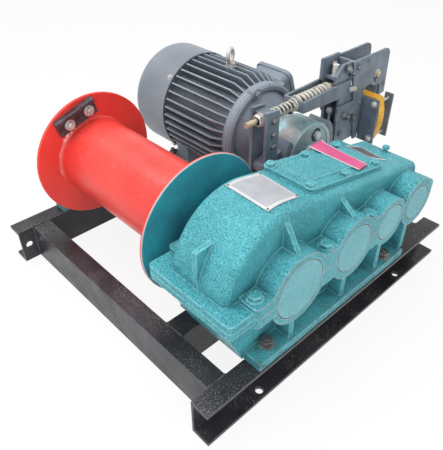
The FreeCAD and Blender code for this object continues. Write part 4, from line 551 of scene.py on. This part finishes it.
# ---- Plates and labels on the cover ----------------------------------------------------
# Three thin plates lie on the cover: a blank bright nameplate riveted over the round end, a
# blank pink ribbon that curls up at one end, and a blank dark lozenge with a white edge.
PLATE_STEPS = 14
NAMEPLATE = ((212.5, -200.9), (329.2, -204.2), (330.2, -115.7), (216.5, -105.5))
NAMEPLATE_THICKNESS = 0.8 * MM
NAMEPLATE_LIFT = 1.2 * MM
NAMEPLATE_RIVET = fastener(12, 1.8, 1.4, 2.4, 0.4)
RIVET_INSET_SHARE = 0.085
SLOPE_STEP = 0.001
LABEL_THICKNESS = 0.35 * MM
RIBBON = ((188.0, 91.0), (328.0, 90.0), (318.0, 138.0), (178.0, 152.0))
RIBBON_LIFT = 12.8 * MM
RIBBON_CURL = 4 * MM
RIBBON_CURL_X = 0.208
RIBBON_CURL_REACH = 0.03
LOZENGE = ((206.0, 213.0), (283.0, 206.0), (315.0, 231.0), (228.0, 246.0))
LOZENGE_LIFT = 1.0 * MM
SILVER = (0.47, 0.48, 0.51, 1)
SILVER_SHADE = (0.38, 0.40, 0.43, 1)
RIM_PALE = (0.68, 0.68, 0.69, 1)
RIM_SHADE = (0.56, 0.57, 0.58, 1)
PINK = (0.72, 0.10, 0.28, 1)
PINK_SHADE = (0.62, 0.07, 0.22, 1)
LOZENGE_DARK = (0.04, 0.05, 0.06, 1)
LOZENGE_SHEEN = (0.07, 0.09, 0.10, 1)
SCRATCH_GREY = (0.30, 0.31, 0.32, 1)


def laid_plate(name, corners, lift, thickness, rim, coats):
    """A thin plate that follows the cover. Its rim, all of it or two sides, has the second coat."""
    mesh = bmesh.new()
    corner = [Vector((x * MM, y * MM)) for x, y in corners]
    rows = []
    for row in range(PLATE_STEPS + 1):
        line = []
        for column_number in range(PLATE_STEPS + 1):
            u, v = column_number / PLATE_STEPS, row / PLATE_STEPS
            spot = (corner[0].lerp(corner[1], u)).lerp(corner[3].lerp(corner[2], u), v)
            line.append(mesh.verts.new((spot.x, spot.y, cover_top(spot.y) + lift(spot.x))))
        rows.append(line)
    ends = (0, PLATE_STEPS - 1)
    for row in range(PLATE_STEPS):
        for across in range(PLATE_STEPS):
            face = mesh.faces.new((rows[row][across], rows[row][across + 1], rows[row + 1][across + 1],
                                   rows[row + 1][across]))
            face.material_index = int(row in ends or (rim == "all" and across in ends))
            face.smooth = True
    data = bpy.data.meshes.new(name)
    mesh.to_mesh(data)
    mesh.free()
    for coat in coats:
        data.materials.append(coat)
    piece = bpy.data.objects.new(name, data)
    bpy.context.collection.objects.link(piece)
    wall = piece.modifiers.new("thickness", "SOLIDIFY")
    wall.thickness = thickness
    wall.offset = 1.0
    place_piece(piece, "winch_base")


def label_coat(name, face, shade, roughness, metallic, scratches):
    """A printed or bright plate, a little uneven and finely scratched."""
    coat, tree, place = start_coat(name)
    colour = tint(tree, cloud(tree, place, 30, 0.35, 0.7), face, shade)
    marks = cloud(tree, place, 380, 0.60, 0.70, 2.0)
    colour = tint(tree, times(tree, marks, scratches), colour, SCRATCH_GREY)
    gloss = spread(tree, cloud(tree, place, 50, 0.3, 0.7), 0, 1, roughness, roughness + 0.15)
    end_coat(tree, colour, gloss, marks, 0.0001, metallic)
    return coat


def ribbon_lift(x):
    """The ribbon lies on the inspection cover, then droops and curls past its left edge."""
    past = max(RIBBON_CURL_X - x, 0.0) / RIBBON_CURL_REACH
    return RIBBON_LIFT + RIBBON_CURL * past * past


silver_coat = label_coat("bright_plate", SILVER, SILVER_SHADE, 0.32, 0.25, 0.5)
pale_rim = label_coat("plate_rim", RIM_PALE, RIM_SHADE, 0.4, 0.0, 0.2)
pink_coat = label_coat("pink_ribbon", PINK, PINK_SHADE, 0.35, 0.0, 0.12)
dark_coat = label_coat("dark_lozenge", LOZENGE_DARK, LOZENGE_SHEEN, 0.3, 0.0, 0.3)
laid_plate("blank_nameplate", NAMEPLATE, lambda x: NAMEPLATE_LIFT, NAMEPLATE_THICKNESS, "all",
           (silver_coat, pale_rim))
plate_corners = [Vector((x * MM, y * MM)) for x, y in NAMEPLATE]
plate_middle = sum(plate_corners, Vector((0, 0))) / 4
places = []
for corner in plate_corners:
    spot = corner.lerp(plate_middle, RIVET_INSET_SHARE)
    rise = (cover_top(spot.y - SLOPE_STEP) - cover_top(spot.y + SLOPE_STEP)) / (2 * SLOPE_STEP)
    top = cover_top(spot.y) + NAMEPLATE_LIFT + NAMEPLATE_THICKNESS
    places.append(((spot.x, spot.y, top), (0, rise, 1)))
fasten("nameplate_rivets", "winch_base", NAMEPLATE_RIVET, nut_coat, nut_coat, places, 23)
laid_plate("blank_ribbon", RIBBON, ribbon_lift, LABEL_THICKNESS, "sides", (pink_coat, pale_rim))
laid_plate("blank_lozenge", LOZENGE, lambda x: LOZENGE_LIFT, LABEL_THICKNESS, "all", (dark_coat, pale_rim))


# ---- Drum and rope clamp ---------------------------------------------------------------
# A rolled steel barrel welded between two turned flanges, in glossy red. The outer face of
# the gear-side flange is turquoise like the box, and its rim shows a bright bare line. A
# black rope clamp is bolted to the inner face of the left flange.
DRUM_RED = (0.90, 0.070, 0.052, 1)
DRUM_RED_DEEP = (0.78, 0.048, 0.038, 1)
DRUM_RED_PALE = (0.84, 0.150, 0.120, 1)
DRUM_TEAL = (0.040, 0.215, 0.285, 1)
BARE_RIM = (0.55, 0.56, 0.56, 1)
PRIMER_WHITE = (0.86, 0.72, 0.68, 1)
FLANGE_THICKNESS = 8 * MM
RIM_RADII = (0.1688, 0.1694)
# Each arc's radius and half width, then its middle's degrees from upright and half its span.
FLAKED_ARC = (0.1085, 0.0075, -28, 26)
PALE_ARC = (0.110, 0.0045, -76, 34)
CLAMP_THICKNESS = 7 * MM
CLAMP_ANGLE = math.radians(18.7)
CLAMP_BOLTS_ALONG = (-25 * MM, 37 * MM)
CLAMP_BOLT_RADIAL = 127 * MM
CLAMP_BLACK = (0.030, 0.024, 0.030, 1)
CLAMP_SHEEN = (0.085, 0.070, 0.090, 1)
ZINC = (0.68, 0.67, 0.66, 1)
ZINC_SHADE = (0.48, 0.46, 0.45, 1)
ZINC_BRIGHT = (0.82, 0.80, 0.76, 1)
CLAMP_EDGE = (0.30, 0.29, 0.30, 1)
CLAMP_BOLT = fastener(6, 10.5, 9.5, 14.5, 2, 6, 3)
STEEL = (0.42, 0.41, 0.40, 1)
STEEL_BROWN = (0.26, 0.22, 0.19, 1)
STEEL_BRIGHT = (0.6, 0.6, 0.6, 1)

drum_coat, tree, place = start_coat("drum_red")
colour = tint(tree, cloud(tree, place, 6, 0.35, 0.66), DRUM_RED, DRUM_RED_DEEP)
scuffs = add(tree, "ShaderNodeMapping", {0: place, 3: (40, 260, 260)})
scuffs = cloud(tree, scuffs.outputs[0], 1.0, 0.58, 0.74, 4.0)
colour = tint(tree, times(tree, scuffs, 0.55), colour, DRUM_RED_PALE)
centre = vector_math(tree, "SUBTRACT", place, (0, DRUM_Y, AXIS_Z))
spoke = vector_math(tree, "MULTIPLY", centre, (0, 1, 1))
reach = vector_math(tree, "LENGTH", spoke)
pointing = vector_math(tree, "NORMALIZE", spoke)
along = coordinate(tree, place, 0)
flange_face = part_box("drum_left_flange")[1][0]
inner_face = times(tree, spread(tree, along, flange_face + 3 * MM, flange_face + 1 * MM),
                   spread(tree, along, flange_face - 3 * MM, flange_face - 2 * MM))


def ring_arc(radius, half_width, degrees, half_degrees):
    """1 on an arc round the drum's axis, its middle turned from straight up."""
    away = arithmetic(tree, "ABSOLUTE", arithmetic(tree, "SUBTRACT", reach, radius))
    ring = spread(tree, away, half_width, half_width * 0.6)
    way = (0, math.sin(math.radians(degrees)), math.cos(math.radians(degrees)))
    sector = spread(tree, vector_math(tree, "DOT_PRODUCT", pointing, way),
                    math.cos(math.radians(half_degrees)), math.cos(math.radians(half_degrees * 0.8)))
    return times(tree, ring, sector)


# White primer shows in two arcs on the inner face of the left flange.
flakes = times(tree, ring_arc(*FLAKED_ARC), cloud(tree, place, 170, 0.50, 0.54))
colour = tint(tree, times(tree, flakes, inner_face), colour, PRIMER_WHITE)
pale = times(tree, ring_arc(*PALE_ARC), cloud(tree, place, 60, 0.36, 0.62))
colour = tint(tree, times(tree, times(tree, pale, inner_face), 0.3), colour, PRIMER_WHITE)
gear_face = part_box("drum_gear_flange")[0][0] + FLANGE_THICKNESS
outer = spread(tree, along, gear_face - 1.4 * MM, gear_face - 1.2 * MM)
teal = tint(tree, cloud(tree, place, 14, 0.35, 0.7), DRUM_TEAL, TURQUOISE_DEEP)
teal = tint(tree, times(tree, cloud(tree, place, 300, 0.56, 0.68), 0.4), teal, TURQUOISE_PIT)
colour = tint(tree, outer, colour, teal)
rim = times(tree, spread(tree, reach, *RIM_RADII),
            spread(tree, along, gear_face - 3 * MM, gear_face - 2.6 * MM))
colour = tint(tree, times(tree, rim, 0.8), colour, BARE_RIM)
edges = times(tree, edge_wear_and_highlight(tree, 0.002), cloud(tree, place, 30, 0.45, 0.62))
colour = tint(tree, times(tree, edges, 0.35), colour, DRUM_RED_PALE)
roughness = spread(tree, cloud(tree, place, 20, 0.3, 0.7), 0, 1, 0.27, 0.42)
height = add(tree, "ShaderNodeTexNoise", {"Vector": place, "Scale": 70.0, "Detail": 3.0}).outputs["Fac"]
end_coat(tree, colour, roughness, height, 0.0009)
dress(drum_coat, "drum_barrel", "drum_left_flange", "drum_gear_flange")

zinc_coat = metal_coat("zinc_plate", ZINC, ZINC_SHADE, ZINC_BRIGHT, 0.38, 0.55)
clamp_coat = metal_coat("clamp_black", CLAMP_BLACK, CLAMP_SHEEN, CLAMP_EDGE, 0.38, 0.1, 0.5)
dress(clamp_coat, "rope_clamp")
clamp_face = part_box("rope_clamp")[0][0] + CLAMP_THICKNESS
places = []
for along_plate in CLAMP_BOLTS_ALONG:
    y = DRUM_Y + along_plate * math.cos(CLAMP_ANGLE) - CLAMP_BOLT_RADIAL * math.sin(CLAMP_ANGLE)
    z = AXIS_Z + along_plate * math.sin(CLAMP_ANGLE) + CLAMP_BOLT_RADIAL * math.cos(CLAMP_ANGLE)
    places.append(((clamp_face, y, z), (1, 0, 0)))
fasten("clamp_nuts", "drum", CLAMP_BOLT, zinc_coat, zinc_coat, places, 5)

steel_coat = metal_coat("ground_steel", STEEL, STEEL_BROWN, STEEL_BRIGHT, 0.35, 0.85)
dress(steel_coat, "drum_shaft", "motor_shaft", "input_shaft")


# ---- Motor -----------------------------------------------------------------------------
# A finned cast-iron motor in blue-grey semi-gloss, with a pressed steel fan cowl, a cast
# end shield on lugs, a terminal box with a screwed lid and a zinc-plated lifting eye.
MOTOR_GREY = (0.250, 0.298, 0.358, 1)
MOTOR_SHADE = (0.185, 0.222, 0.270, 1)
MOTOR_EDGE_HIGHLIGHT = (0.52, 0.57, 0.63, 1)
MOTOR_SOOT_AND_SHADE = (0.040, 0.045, 0.052, 1)
COWL_GREY = (0.225, 0.258, 0.300, 1)
COWL_SHADE = (0.180, 0.206, 0.242, 1)
INLET_DARK = (0.012, 0.013, 0.015, 1)
INLET_HOLES_PER_METRE = 75.0
INLET_HOLE_SHARE = 0.34
INLET_OUTER = 0.112
INLET_INNER = 0.028
INLET_DEPTH = 8.0
MOTOR_Y = middle("motor_fan_cowl", 1)
MOTOR_FOOT_BOLT = fastener(6, 12.5, 10, 15.5, 2.5, 6.5, 9)
MOTOR_FOOT_XS = (-112 * MM, -366 * MM)
MOTOR_FOOT_HALF_Y = 127 * MM
MOTOR_FOOT = 20 * MM
SHIELD_BOLT = fastener(6, 8.5, 6.5, 11, 1.5)
SHIELD_LUG_X = -88 * MM
SHIELD_LUG_RADIUS = 132 * MM
SHIELD_LUG_ANGLE = 17
COWL_SCREW = fastener(6, 6.5, 4.5, 8.5, 1.2)
COWL_SCREW_INSET = 12 * MM
COWL_SCREW_SEAT = 0.996
LID_SCREW = fastener(12, 5, 3, 6.5, 0.8)
LID_TILT = math.radians(70)
LID_REACH = 200 * MM
LID_SCREW_XS = (-56 * MM, 56 * MM)
LID_SCREWS_ACROSS = (-38 * MM, 38 * MM)


def inlet_holes(tree, place, cowl_end):
    """1 in the rows of punched air holes in the flat rear of the cowl."""
    centre = vector_math(tree, "SUBTRACT", place, cowl_end)
    flat = vector_math(tree, "MULTIPLY", centre, (0, 1, 1))
    reach = vector_math(tree, "LENGTH", flat)
    rows = add(tree, "ShaderNodeTexVoronoi", {
        "Vector": flat, "Scale": INLET_HOLES_PER_METRE, "Randomness": 0.0})
    hole = spread(tree, rows.outputs["Distance"], INLET_HOLE_SHARE + 0.04, INLET_HOLE_SHARE)
    ring = times(tree, spread(tree, reach, INLET_OUTER, INLET_OUTER - 0.002),
                 spread(tree, reach, INLET_INNER, INLET_INNER + 0.002))
    behind = spread(tree, coordinate(tree, centre, 0), 0.004, 0.002)
    return times(tree, hole, times(tree, ring, behind))


def motor_coat_of(name, face, shade, grain, roughness, edge_share, edge_width, soot_share, inlet=None):
    """Motor paint with soot specks, painted shade in its hollows and painted highlights on its ridges;
    inlet is the middle of the cowl's end.
    """
    coat, tree, place = start_coat(name)
    colour = tint(tree, cloud(tree, place, 8, 0.35, 0.66), face, shade)
    soot_and_shade = times(tree, cloud(tree, place, 150, 0.60, 0.70), soot_share)
    # Painted shade in the hollows between the fins joins the soot specks.
    soot_and_shade = arithmetic(tree, "MAXIMUM", soot_and_shade, times(tree, painted_shade_in_hollows(tree, 0.03), 0.6))
    colour = tint(tree, soot_and_shade, colour, MOTOR_SOOT_AND_SHADE)
    # Painted highlights along the fins' and ribs' edges.
    edges = times(tree, edge_wear_and_highlight(tree, edge_width), edge_share)
    edges = times(tree, edges, cloud(tree, place, 40, 0.25, 0.5))
    colour = tint(tree, edges, colour, MOTOR_EDGE_HIGHLIGHT)
    height = cloud(tree, place, 240, 0.3, 0.7)
    if inlet:
        holes = inlet_holes(tree, place, inlet)
        colour = tint(tree, holes, colour, INLET_DARK)
        height = arithmetic(tree, "SUBTRACT", height, times(tree, holes, INLET_DEPTH))
    gloss = spread(tree, cloud(tree, place, 18, 0.3, 0.7), 0, 1, roughness, roughness + 0.14)
    end_coat(tree, colour, gloss, height, grain)
    return coat


motor_coat = motor_coat_of("motor_grey", MOTOR_GREY, MOTOR_SHADE, 0.0005, 0.33, 0.9, 0.0026, 0.3)
cowl_low, cowl_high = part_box("motor_fan_cowl")
cowl_coat = motor_coat_of("cowl_grey", COWL_GREY, COWL_SHADE, 0.0002, 0.32, 0.45, 0.003, 0.08,
                          (cowl_low[0], MOTOR_Y, middle("motor_fan_cowl", 2)))
dress(motor_coat, "motor_frame", "motor_end_shield", "motor_terminal_box")
dress(cowl_coat, "motor_fan_cowl")
dress(zinc_coat, "motor_lifting_eye")

foot_top_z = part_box("motor_frame")[0][2] + MOTOR_FOOT
places = [((x, MOTOR_Y + side * MOTOR_FOOT_HALF_Y, foot_top_z), UP)
          for x in MOTOR_FOOT_XS for side in SIDES]
fasten("motor_foot_nuts", "winch_base", MOTOR_FOOT_BOLT, nut_coat, zinc_coat, places, 2)

places = []
for quarter in range(4):
    angle = math.radians(SHIELD_LUG_ANGLE + 90 * quarter)
    places.append(((SHIELD_LUG_X, MOTOR_Y - SHIELD_LUG_RADIUS * math.sin(angle),
                    AXIS_Z + SHIELD_LUG_RADIUS * math.cos(angle)), (1, 0, 0)))
fasten("end_shield_bolts", "winch_base", SHIELD_BOLT, motor_coat, motor_coat, places, 9)

cowl_radius = (cowl_high[1] - cowl_low[1]) / 2
places = []
for degrees in (45, 135, 225, 315):
    way = (0, math.sin(math.radians(degrees)), math.cos(math.radians(degrees)))
    places.append(((cowl_high[0] - COWL_SCREW_INSET, MOTOR_Y + cowl_radius * way[1] * COWL_SCREW_SEAT,
                    AXIS_Z + cowl_radius * way[2] * COWL_SCREW_SEAT), way))
fasten("cowl_screws", "winch_base", COWL_SCREW, zinc_coat, zinc_coat, places, 7)

lid_way = Vector((0, math.sin(LID_TILT), math.cos(LID_TILT)))
lid_side = Vector((0, math.cos(LID_TILT), -math.sin(LID_TILT)))
lid_middle = Vector((middle("motor_terminal_box", 0), MOTOR_Y, AXIS_Z)) + lid_way * LID_REACH
places = [(lid_middle + Vector((x, 0, 0)) + lid_side * across, lid_way)
          for x in LID_SCREW_XS for across in LID_SCREWS_ACROSS]
fasten("terminal_lid_screws", "winch_base", LID_SCREW, zinc_coat, zinc_coat, places, 11)


# ---- Brake wheel and coupling ----------------------------------------------------------
# A turned iron wheel, brown-grey on its rim where the shoes ride, with overspray from the
# box on its faces, and three zinc-plated coupling pins in rubber bushes.
WHEEL_IRON = (0.380, 0.490, 0.510, 1)
WHEEL_BROWN = (0.200, 0.150, 0.115, 1)
WHEEL_BAND = (0.270, 0.260, 0.250, 1)
WHEEL_TEAL = (0.255, 0.450, 0.500, 1)
WHEEL_EDGE_HIGHLIGHT = (0.60, 0.62, 0.62, 1)
RUBBER = (0.020, 0.020, 0.022, 1)
RUBBER_SHADE = (0.04, 0.038, 0.036, 1)
RUBBER_EDGE = (0.07, 0.07, 0.07, 1)
BAND_END_X = (0.0795, 0.0805)
PIN_NUT = fastener(6, 13, 9.5, 19.4, 1.6, 6.5, 0.5)
PIN_CIRCLE = 50 * MM
PIN_START = 24
BUSH_DEPTH = 12 * MM

wheel_coat, tree, place = start_coat("wheel_iron")
band = tint(tree, cloud(tree, place, 18, 0.38, 0.60), WHEEL_BAND, WHEEL_TEAL)
face = tint(tree, cloud(tree, place, 24, 0.35, 0.65), WHEEL_IRON, WHEEL_TEAL)
colour = tint(tree, spread(tree, coordinate(tree, place, 0), *BAND_END_X), band, face)
colour = tint(tree, times(tree, cloud(tree, place, 70, 0.50, 0.70), 0.4), colour, WHEEL_BROWN)
# A painted highlight along the wheel's edges.
colour = tint(tree, times(tree, edge_wear_and_highlight(tree, 0.002), 0.75), colour, WHEEL_EDGE_HIGHLIGHT)
roughness = spread(tree, cloud(tree, place, 40, 0.3, 0.7), 0, 1, 0.34, 0.55)
end_coat(tree, colour, roughness, cloud(tree, place, 200, 0.3, 0.7), 0.0004, 0.35)
dress(wheel_coat, "brake_wheel", "motor_coupling")
rubber_coat = metal_coat("bush_rubber", RUBBER, RUBBER_SHADE, RUBBER_EDGE, 0.6, 0.0, 0.3)

bush_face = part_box("brake_wheel")[1][0] - BUSH_DEPTH
places = []
for pin in range(3):
    angle = math.radians(PIN_START + 120 * pin)
    places.append(((bush_face, MOTOR_Y + PIN_CIRCLE * math.sin(angle),
                    AXIS_Z + PIN_CIRCLE * math.cos(angle)), (1, 0, 0)))
fasten("coupling_pin_nuts", "brake_wheel_set", PIN_NUT, zinc_coat, rubber_coat, places, 12)


# ---- Shoe brake ------------------------------------------------------------------------
# Pairs of flame-cut plates, bolted through, in dark blue-grey paint, with brown moulded
# linings, thick cream-painted springs and a threaded rod that is yellow from its plating.
BRAKE_GREY = (0.185, 0.238, 0.296, 1)
BRAKE_SHADE = (0.120, 0.152, 0.190, 1)
BRAKE_EDGE_WEAR_AND_HIGHLIGHT = (0.42, 0.46, 0.49, 1)
BRAKE_PAINTED_SHADE = (0.018, 0.020, 0.024, 1)
BRAKE_RUST = (0.16, 0.075, 0.040, 1)
LINING_BROWN = (0.22, 0.120, 0.085, 1)
LINING_SHADE = (0.13, 0.075, 0.055, 1)
LINING_FLECK = (0.55, 0.36, 0.20, 1)
SPRING_CREAM = (0.66, 0.65, 0.58, 1)
SPRING_SHADE = (0.46, 0.45, 0.40, 1)
SPRING_GRIME = (0.14, 0.12, 0.10, 1)
ROD_PLATING = ((0.60, 0.54, 0.36, 1), (0.42, 0.37, 0.25, 1), (0.82, 0.77, 0.62, 1))
BOLT_PAINTED = ((0.20, 0.22, 0.25, 1), (0.12, 0.13, 0.14, 1), (0.58, 0.58, 0.56, 1))
# The axis of the bare upright in the brake head and the height where it starts.
BARE_BLOCK = (0.042, 0.372, 0.432)
BARE_BLOCK_RADII = (0.0105, 0.0098)
GREASE_STOP = 13 * MM
ROD_X, ROD_Z = middle("brake_spring_rod", 0), middle("brake_spring_rod", 2)
ROD_THREAD = fastener(16, 7.7, 1.3, 6.9, 0.7, 6.8, 0.0)
THREAD_PITCH = 2.6 * MM
FRONT_THREAD = (1 * MM, 28 * MM)
REAR_THREAD = (-24 * MM, -3 * MM)
ROD_NUT = fastener(6, 16, 13, 17.5, 3, 7, 0.5)
ROD_NUT_PLACE = 50 * MM
PLATE_BOLT = fastener(6, 8.2, 6, 10.5, 1.4, 4.5, 2.2)
REAR_BOLTS = ((383.0, 460.0), (404.0, 442.0), (408.0, 314.0), (384.0, 328.0), (428.0, 455.0),
              (440.0, 300.0))
YOKE_END_BOLTS = ((402.0, 401.0), (417.0, 397.0))
INNER_BOLTS = ((22.0, 389.0, 460.0), (14.0, 430.0, 456.0))
ARM_BOLTS = ((21.0, 404.0), (21.0, 368.0), (21.0, 336.0))
ARM_PLATE_X = 70 * MM
FAR_PLATE_X, NEAR_PLATE_X = (corner[0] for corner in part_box("magnet_plates"))
GUIDE_ROD_X, GUIDE_ROD_Y = 0.042, 0.368
GUIDE_ROD_ENDS = (0.298, 0.345)
GUIDE_ROD_RADIUS = 4 * MM
GUIDE_NUT = fastener(6, 8, 6, 10, 1.5)
GUIDE_NUTS = ((0.334, -1), (0.336, 1))


def plate_coat_of(name, face, shade, edge, rust_share, block=None):
    """Painted flame-cut plate, a little rusty, with painted shade in its corners and edges partly worn and
    partly a painted highlight; an upright that stands on block is left bare.
    """
    coat, tree, place = start_coat(name)
    colour = tint(tree, cloud(tree, place, 22, 0.36, 0.64), face, shade)
    rust = times(tree, cloud(tree, place, 55, 0.60, 0.72), rust_share)
    colour = tint(tree, rust, colour, BRAKE_RUST)
    # Painted shade in the plates' corners and grooves.
    colour = tint(tree, times(tree, painted_shade_in_hollows(tree, 0.02), 0.7), colour, BRAKE_PAINTED_SHADE)
    # Lighter edges, partly wear and partly a painted highlight.
    edges = times(tree, edge_wear_and_highlight(tree, 0.0018), cloud(tree, place, 50, 0.30, 0.55))
    colour = tint(tree, times(tree, edges, 0.75), colour, edge)
    if block:
        level = vector_math(tree, "MULTIPLY", vector_math(tree, "SUBTRACT", place, block), (1, 1, 0))
        above = spread(tree, coordinate(tree, place, 2), block[2], block[2] + 0.001)
        bare = times(tree, spread(tree, vector_math(tree, "LENGTH", level), *BARE_BLOCK_RADII), above)
        colour = tint(tree, bare, colour, ZINC)
    gloss = spread(tree, cloud(tree, place, 30, 0.3, 0.7), 0, 1, 0.34, 0.52)
    end_coat(tree, colour, gloss, cloud(tree, place, 260, 0.3, 0.7), 0.0004)
    return coat


brake_coat = plate_coat_of("brake_grey", BRAKE_GREY, BRAKE_SHADE, BRAKE_EDGE_WEAR_AND_HIGHLIGHT, 0.55, BARE_BLOCK)
dress(brake_coat, "brake_base", "brake_front_arm", "brake_rear_arm", "brake_front_shoe", "brake_rear_shoe",
      "brake_spring_yoke", "magnet_plates")
dress(zinc_coat, "brake_pivot_pins", "coil_tie_rods")

lining_coat, tree, place = start_coat("moulded_lining")
colour = tint(tree, cloud(tree, place, 40, 0.35, 0.65), LINING_BROWN, LINING_SHADE)
flecks = cloud(tree, place, 450, 0.60, 0.66, 2.0)
colour = tint(tree, times(tree, flecks, 0.8), colour, LINING_FLECK)
end_coat(tree, colour, 0.75, flecks, 0.0003)
dress(lining_coat, "brake_front_lining", "brake_rear_lining")

spring_coat, tree, place = start_coat("spring_cream")
colour = tint(tree, cloud(tree, place, 45, 0.38, 0.66), SPRING_CREAM, SPRING_SHADE)
dark_blotches = cloud(tree, place, 130, 0.56, 0.68)
colour = tint(tree, times(tree, dark_blotches, 0.6), colour, SPRING_GRIME)
end_coat(tree, colour, 0.45, dark_blotches, 0.0003, 0.15)
dress(spring_coat, "brake_main_spring", "brake_release_spring")

rod_coat = metal_coat("yellow_zinc", *ROD_PLATING, 0.36, 0.5)
greased_span = (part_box("brake_release_spring")[0][1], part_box("brake_main_spring")[1][1] - GREASE_STOP)
greased_coat = metal_coat("greased_rod", *ROD_PLATING, 0.36, 0.5, greased=greased_span)
dress(greased_coat, "brake_spring_rod")
rod_start, rod_end = (corner[1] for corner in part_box("brake_spring_rod"))
places = []
for end, (first, last) in ((rod_start, FRONT_THREAD), (rod_end, REAR_THREAD)):
    for ridge in range(int((last - first) / THREAD_PITCH)):
        places.append(((ROD_X, end + first + ridge * THREAD_PITCH, ROD_Z), (0, 1, 0)))
fasten("rod_threads", "front_brake_arm", ROD_THREAD, rod_coat, rod_coat, places, 14)
fasten("rod_front_nut", "front_brake_arm", ROD_NUT, zinc_coat, zinc_coat,
       [((ROD_X, rod_start + ROD_NUT_PLACE, ROD_Z), (0, -1, 0))], 18)


def on_both_plates(spots):
    """Places on the outer faces of the two side plates, from their Y and Z in millimetres."""
    faces = ((NEAR_PLATE_X, 1), (FAR_PLATE_X, -1))
    return [((x, y * MM, z * MM), (way, 0, 0)) for x, way in faces for y, z in spots]


plate_bolt_coat = metal_coat("plate_bolt", *BOLT_PAINTED, 0.36, 0.5)
fasten("rear_plate_bolts", "rear_brake_arm", PLATE_BOLT, plate_bolt_coat, plate_bolt_coat,
       on_both_plates(REAR_BOLTS), 15)
places = [((x * MM, y * MM, z * MM), (1, 0, 0)) for x, y, z in INNER_BOLTS]
places += [((NEAR_PLATE_X, y * MM, z * MM), (1, 0, 0)) for y, z in YOKE_END_BOLTS]
fasten("head_bolts", "rear_brake_arm", PLATE_BOLT, zinc_coat, plate_bolt_coat, places, 19)
arm_rear_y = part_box("brake_front_arm")[1][1]
places = [((ARM_PLATE_X, arm_rear_y - y * MM, z * MM), (1, 0, 0)) for y, z in ARM_BOLTS]
fasten("front_arm_bolts", "front_brake_arm", PLATE_BOLT, plate_bolt_coat, plate_bolt_coat,
       places, 20)

# A thin zinc-plated guide rod stands in the brake head under the upright block.
wire_tree, given = start_repeat("wire_lines", (("Wire", "Float"), ("Coat", "Material")))
line = add(wire_tree, "GeometryNodeMeshToCurve", {0: given["Geometry"]})
profile = add(wire_tree, "GeometryNodeCurvePrimitiveCircle", {"Resolution": 12, "Radius": given["Wire"]})
wire = add(wire_tree, "GeometryNodeCurveToMesh", {
    "Curve": line.outputs[0], "Profile Curve": profile.outputs[0], "Fill Caps": True})
add(wire_tree, "NodeGroupOutput", {0: coated_solid(wire_tree, wire, given["Coat"])})
rod_ends = [(GUIDE_ROD_X, GUIDE_ROD_Y, z) for z in GUIDE_ROD_ENDS]
guide = grown("head_guide_rod", wire_tree, rod_ends, [(0, 1)],
              {"Wire": GUIDE_ROD_RADIUS, "Coat": zinc_coat})
place_piece(guide, "rear_brake_arm")
fasten("guide_rod_nuts", "rear_brake_arm", GUIDE_NUT, zinc_coat, zinc_coat,
       [((GUIDE_ROD_X, GUIDE_ROD_Y, z), (0, 0, way)) for z, way in GUIDE_NUTS], 24)


# ---- Electromagnet ---------------------------------------------------------------------
# A coil wound round a stack of core plates and bound in yellow tape, held by four clamp
# plates on tie rods; the armature flag hangs from a pin between the far ends of the plates.
TAPE_YELLOW = (0.88, 0.50, 0.045, 1)
TAPE_SHADE = (0.74, 0.34, 0.022, 1)
TAPE_PALE = (0.90, 0.80, 0.52, 1)
TAPE_DIRT = (0.20, 0.13, 0.05, 1)
CORE_DARK = (0.175, 0.230, 0.300, 1)
CORE_SHADE = (0.110, 0.145, 0.185, 1)
CORE_EDGE_WEAR_AND_HIGHLIGHT = (0.50, 0.52, 0.53, 1)
TIE_NUT = fastener(6, 8, 6, 11, 1.6, 4, 2)
TIE_ROD_RADIUS = 4 * MM
RIVET = fastener(16, 5.5, 3, 6.5, 0.5)
PLATE_RIVETS = ((469.0, 381.0), (465.0, 339.0), (463.0, 295.0), (477.0, 459.0), (575.0, 366.0),
                (537.0, 387.0))
FLAG_NUT = fastener(6, 9.5, 7, 12, 1.6, 5, 2)
FLAG_PIN_Y, FLAG_PIN_Z = 0.5265, 0.411

tape_coat, tree, place = start_coat("coil_tape")
colour = tint(tree, cloud(tree, place, 30, 0.36, 0.66), TAPE_YELLOW, TAPE_SHADE)
wound = add(tree, "ShaderNodeTexWave", {"Vector": place, "Scale": 16.0, "Distortion": 1.2, "Detail": 2.0},
            bands_direction="Z").outputs["Fac"]
lap = spread(tree, wound, 0.86, 0.97)
colour = tint(tree, times(tree, lap, 0.5), colour, TAPE_SHADE)
colour = tint(tree, times(tree, edge_wear_and_highlight(tree, 0.004), 0.6), colour, TAPE_PALE)
colour = tint(tree, times(tree, cloud(tree, place, 50, 0.60, 0.72), 0.5), colour, TAPE_DIRT)
end_coat(tree, colour, 0.5, wound, 0.0008)
dress(tape_coat, "magnet_coil")
core_coat = plate_coat_of("core_dark", CORE_DARK, CORE_SHADE, CORE_EDGE_WEAR_AND_HIGHLIGHT, 0.4)
dress(core_coat, "magnet_core", "coil_clamps", "magnet_armature")

low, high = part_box("coil_tie_rods")
clamp_low, clamp_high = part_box("coil_clamps")
places = []
for x in (low[0] + TIE_ROD_RADIUS, high[0] - TIE_ROD_RADIUS):
    for z in (low[2] + TIE_ROD_RADIUS, high[2] - TIE_ROD_RADIUS):
        places += [((x, clamp_high[1], z), (0, 1, 0)), ((x, clamp_low[1], z), (0, -1, 0))]
fasten("tie_rod_nuts", "rear_brake_arm", TIE_NUT, zinc_coat, zinc_coat, places, 16)
fasten("plate_rivets", "rear_brake_arm", RIVET, plate_bolt_coat, plate_bolt_coat,
       on_both_plates(PLATE_RIVETS), 17)
fasten("flag_nuts", "rear_brake_arm", FLAG_NUT, rod_coat, zinc_coat,
       [((NEAR_PLATE_X, FLAG_PIN_Y, FLAG_PIN_Z), (1, 0, 0))], 22)
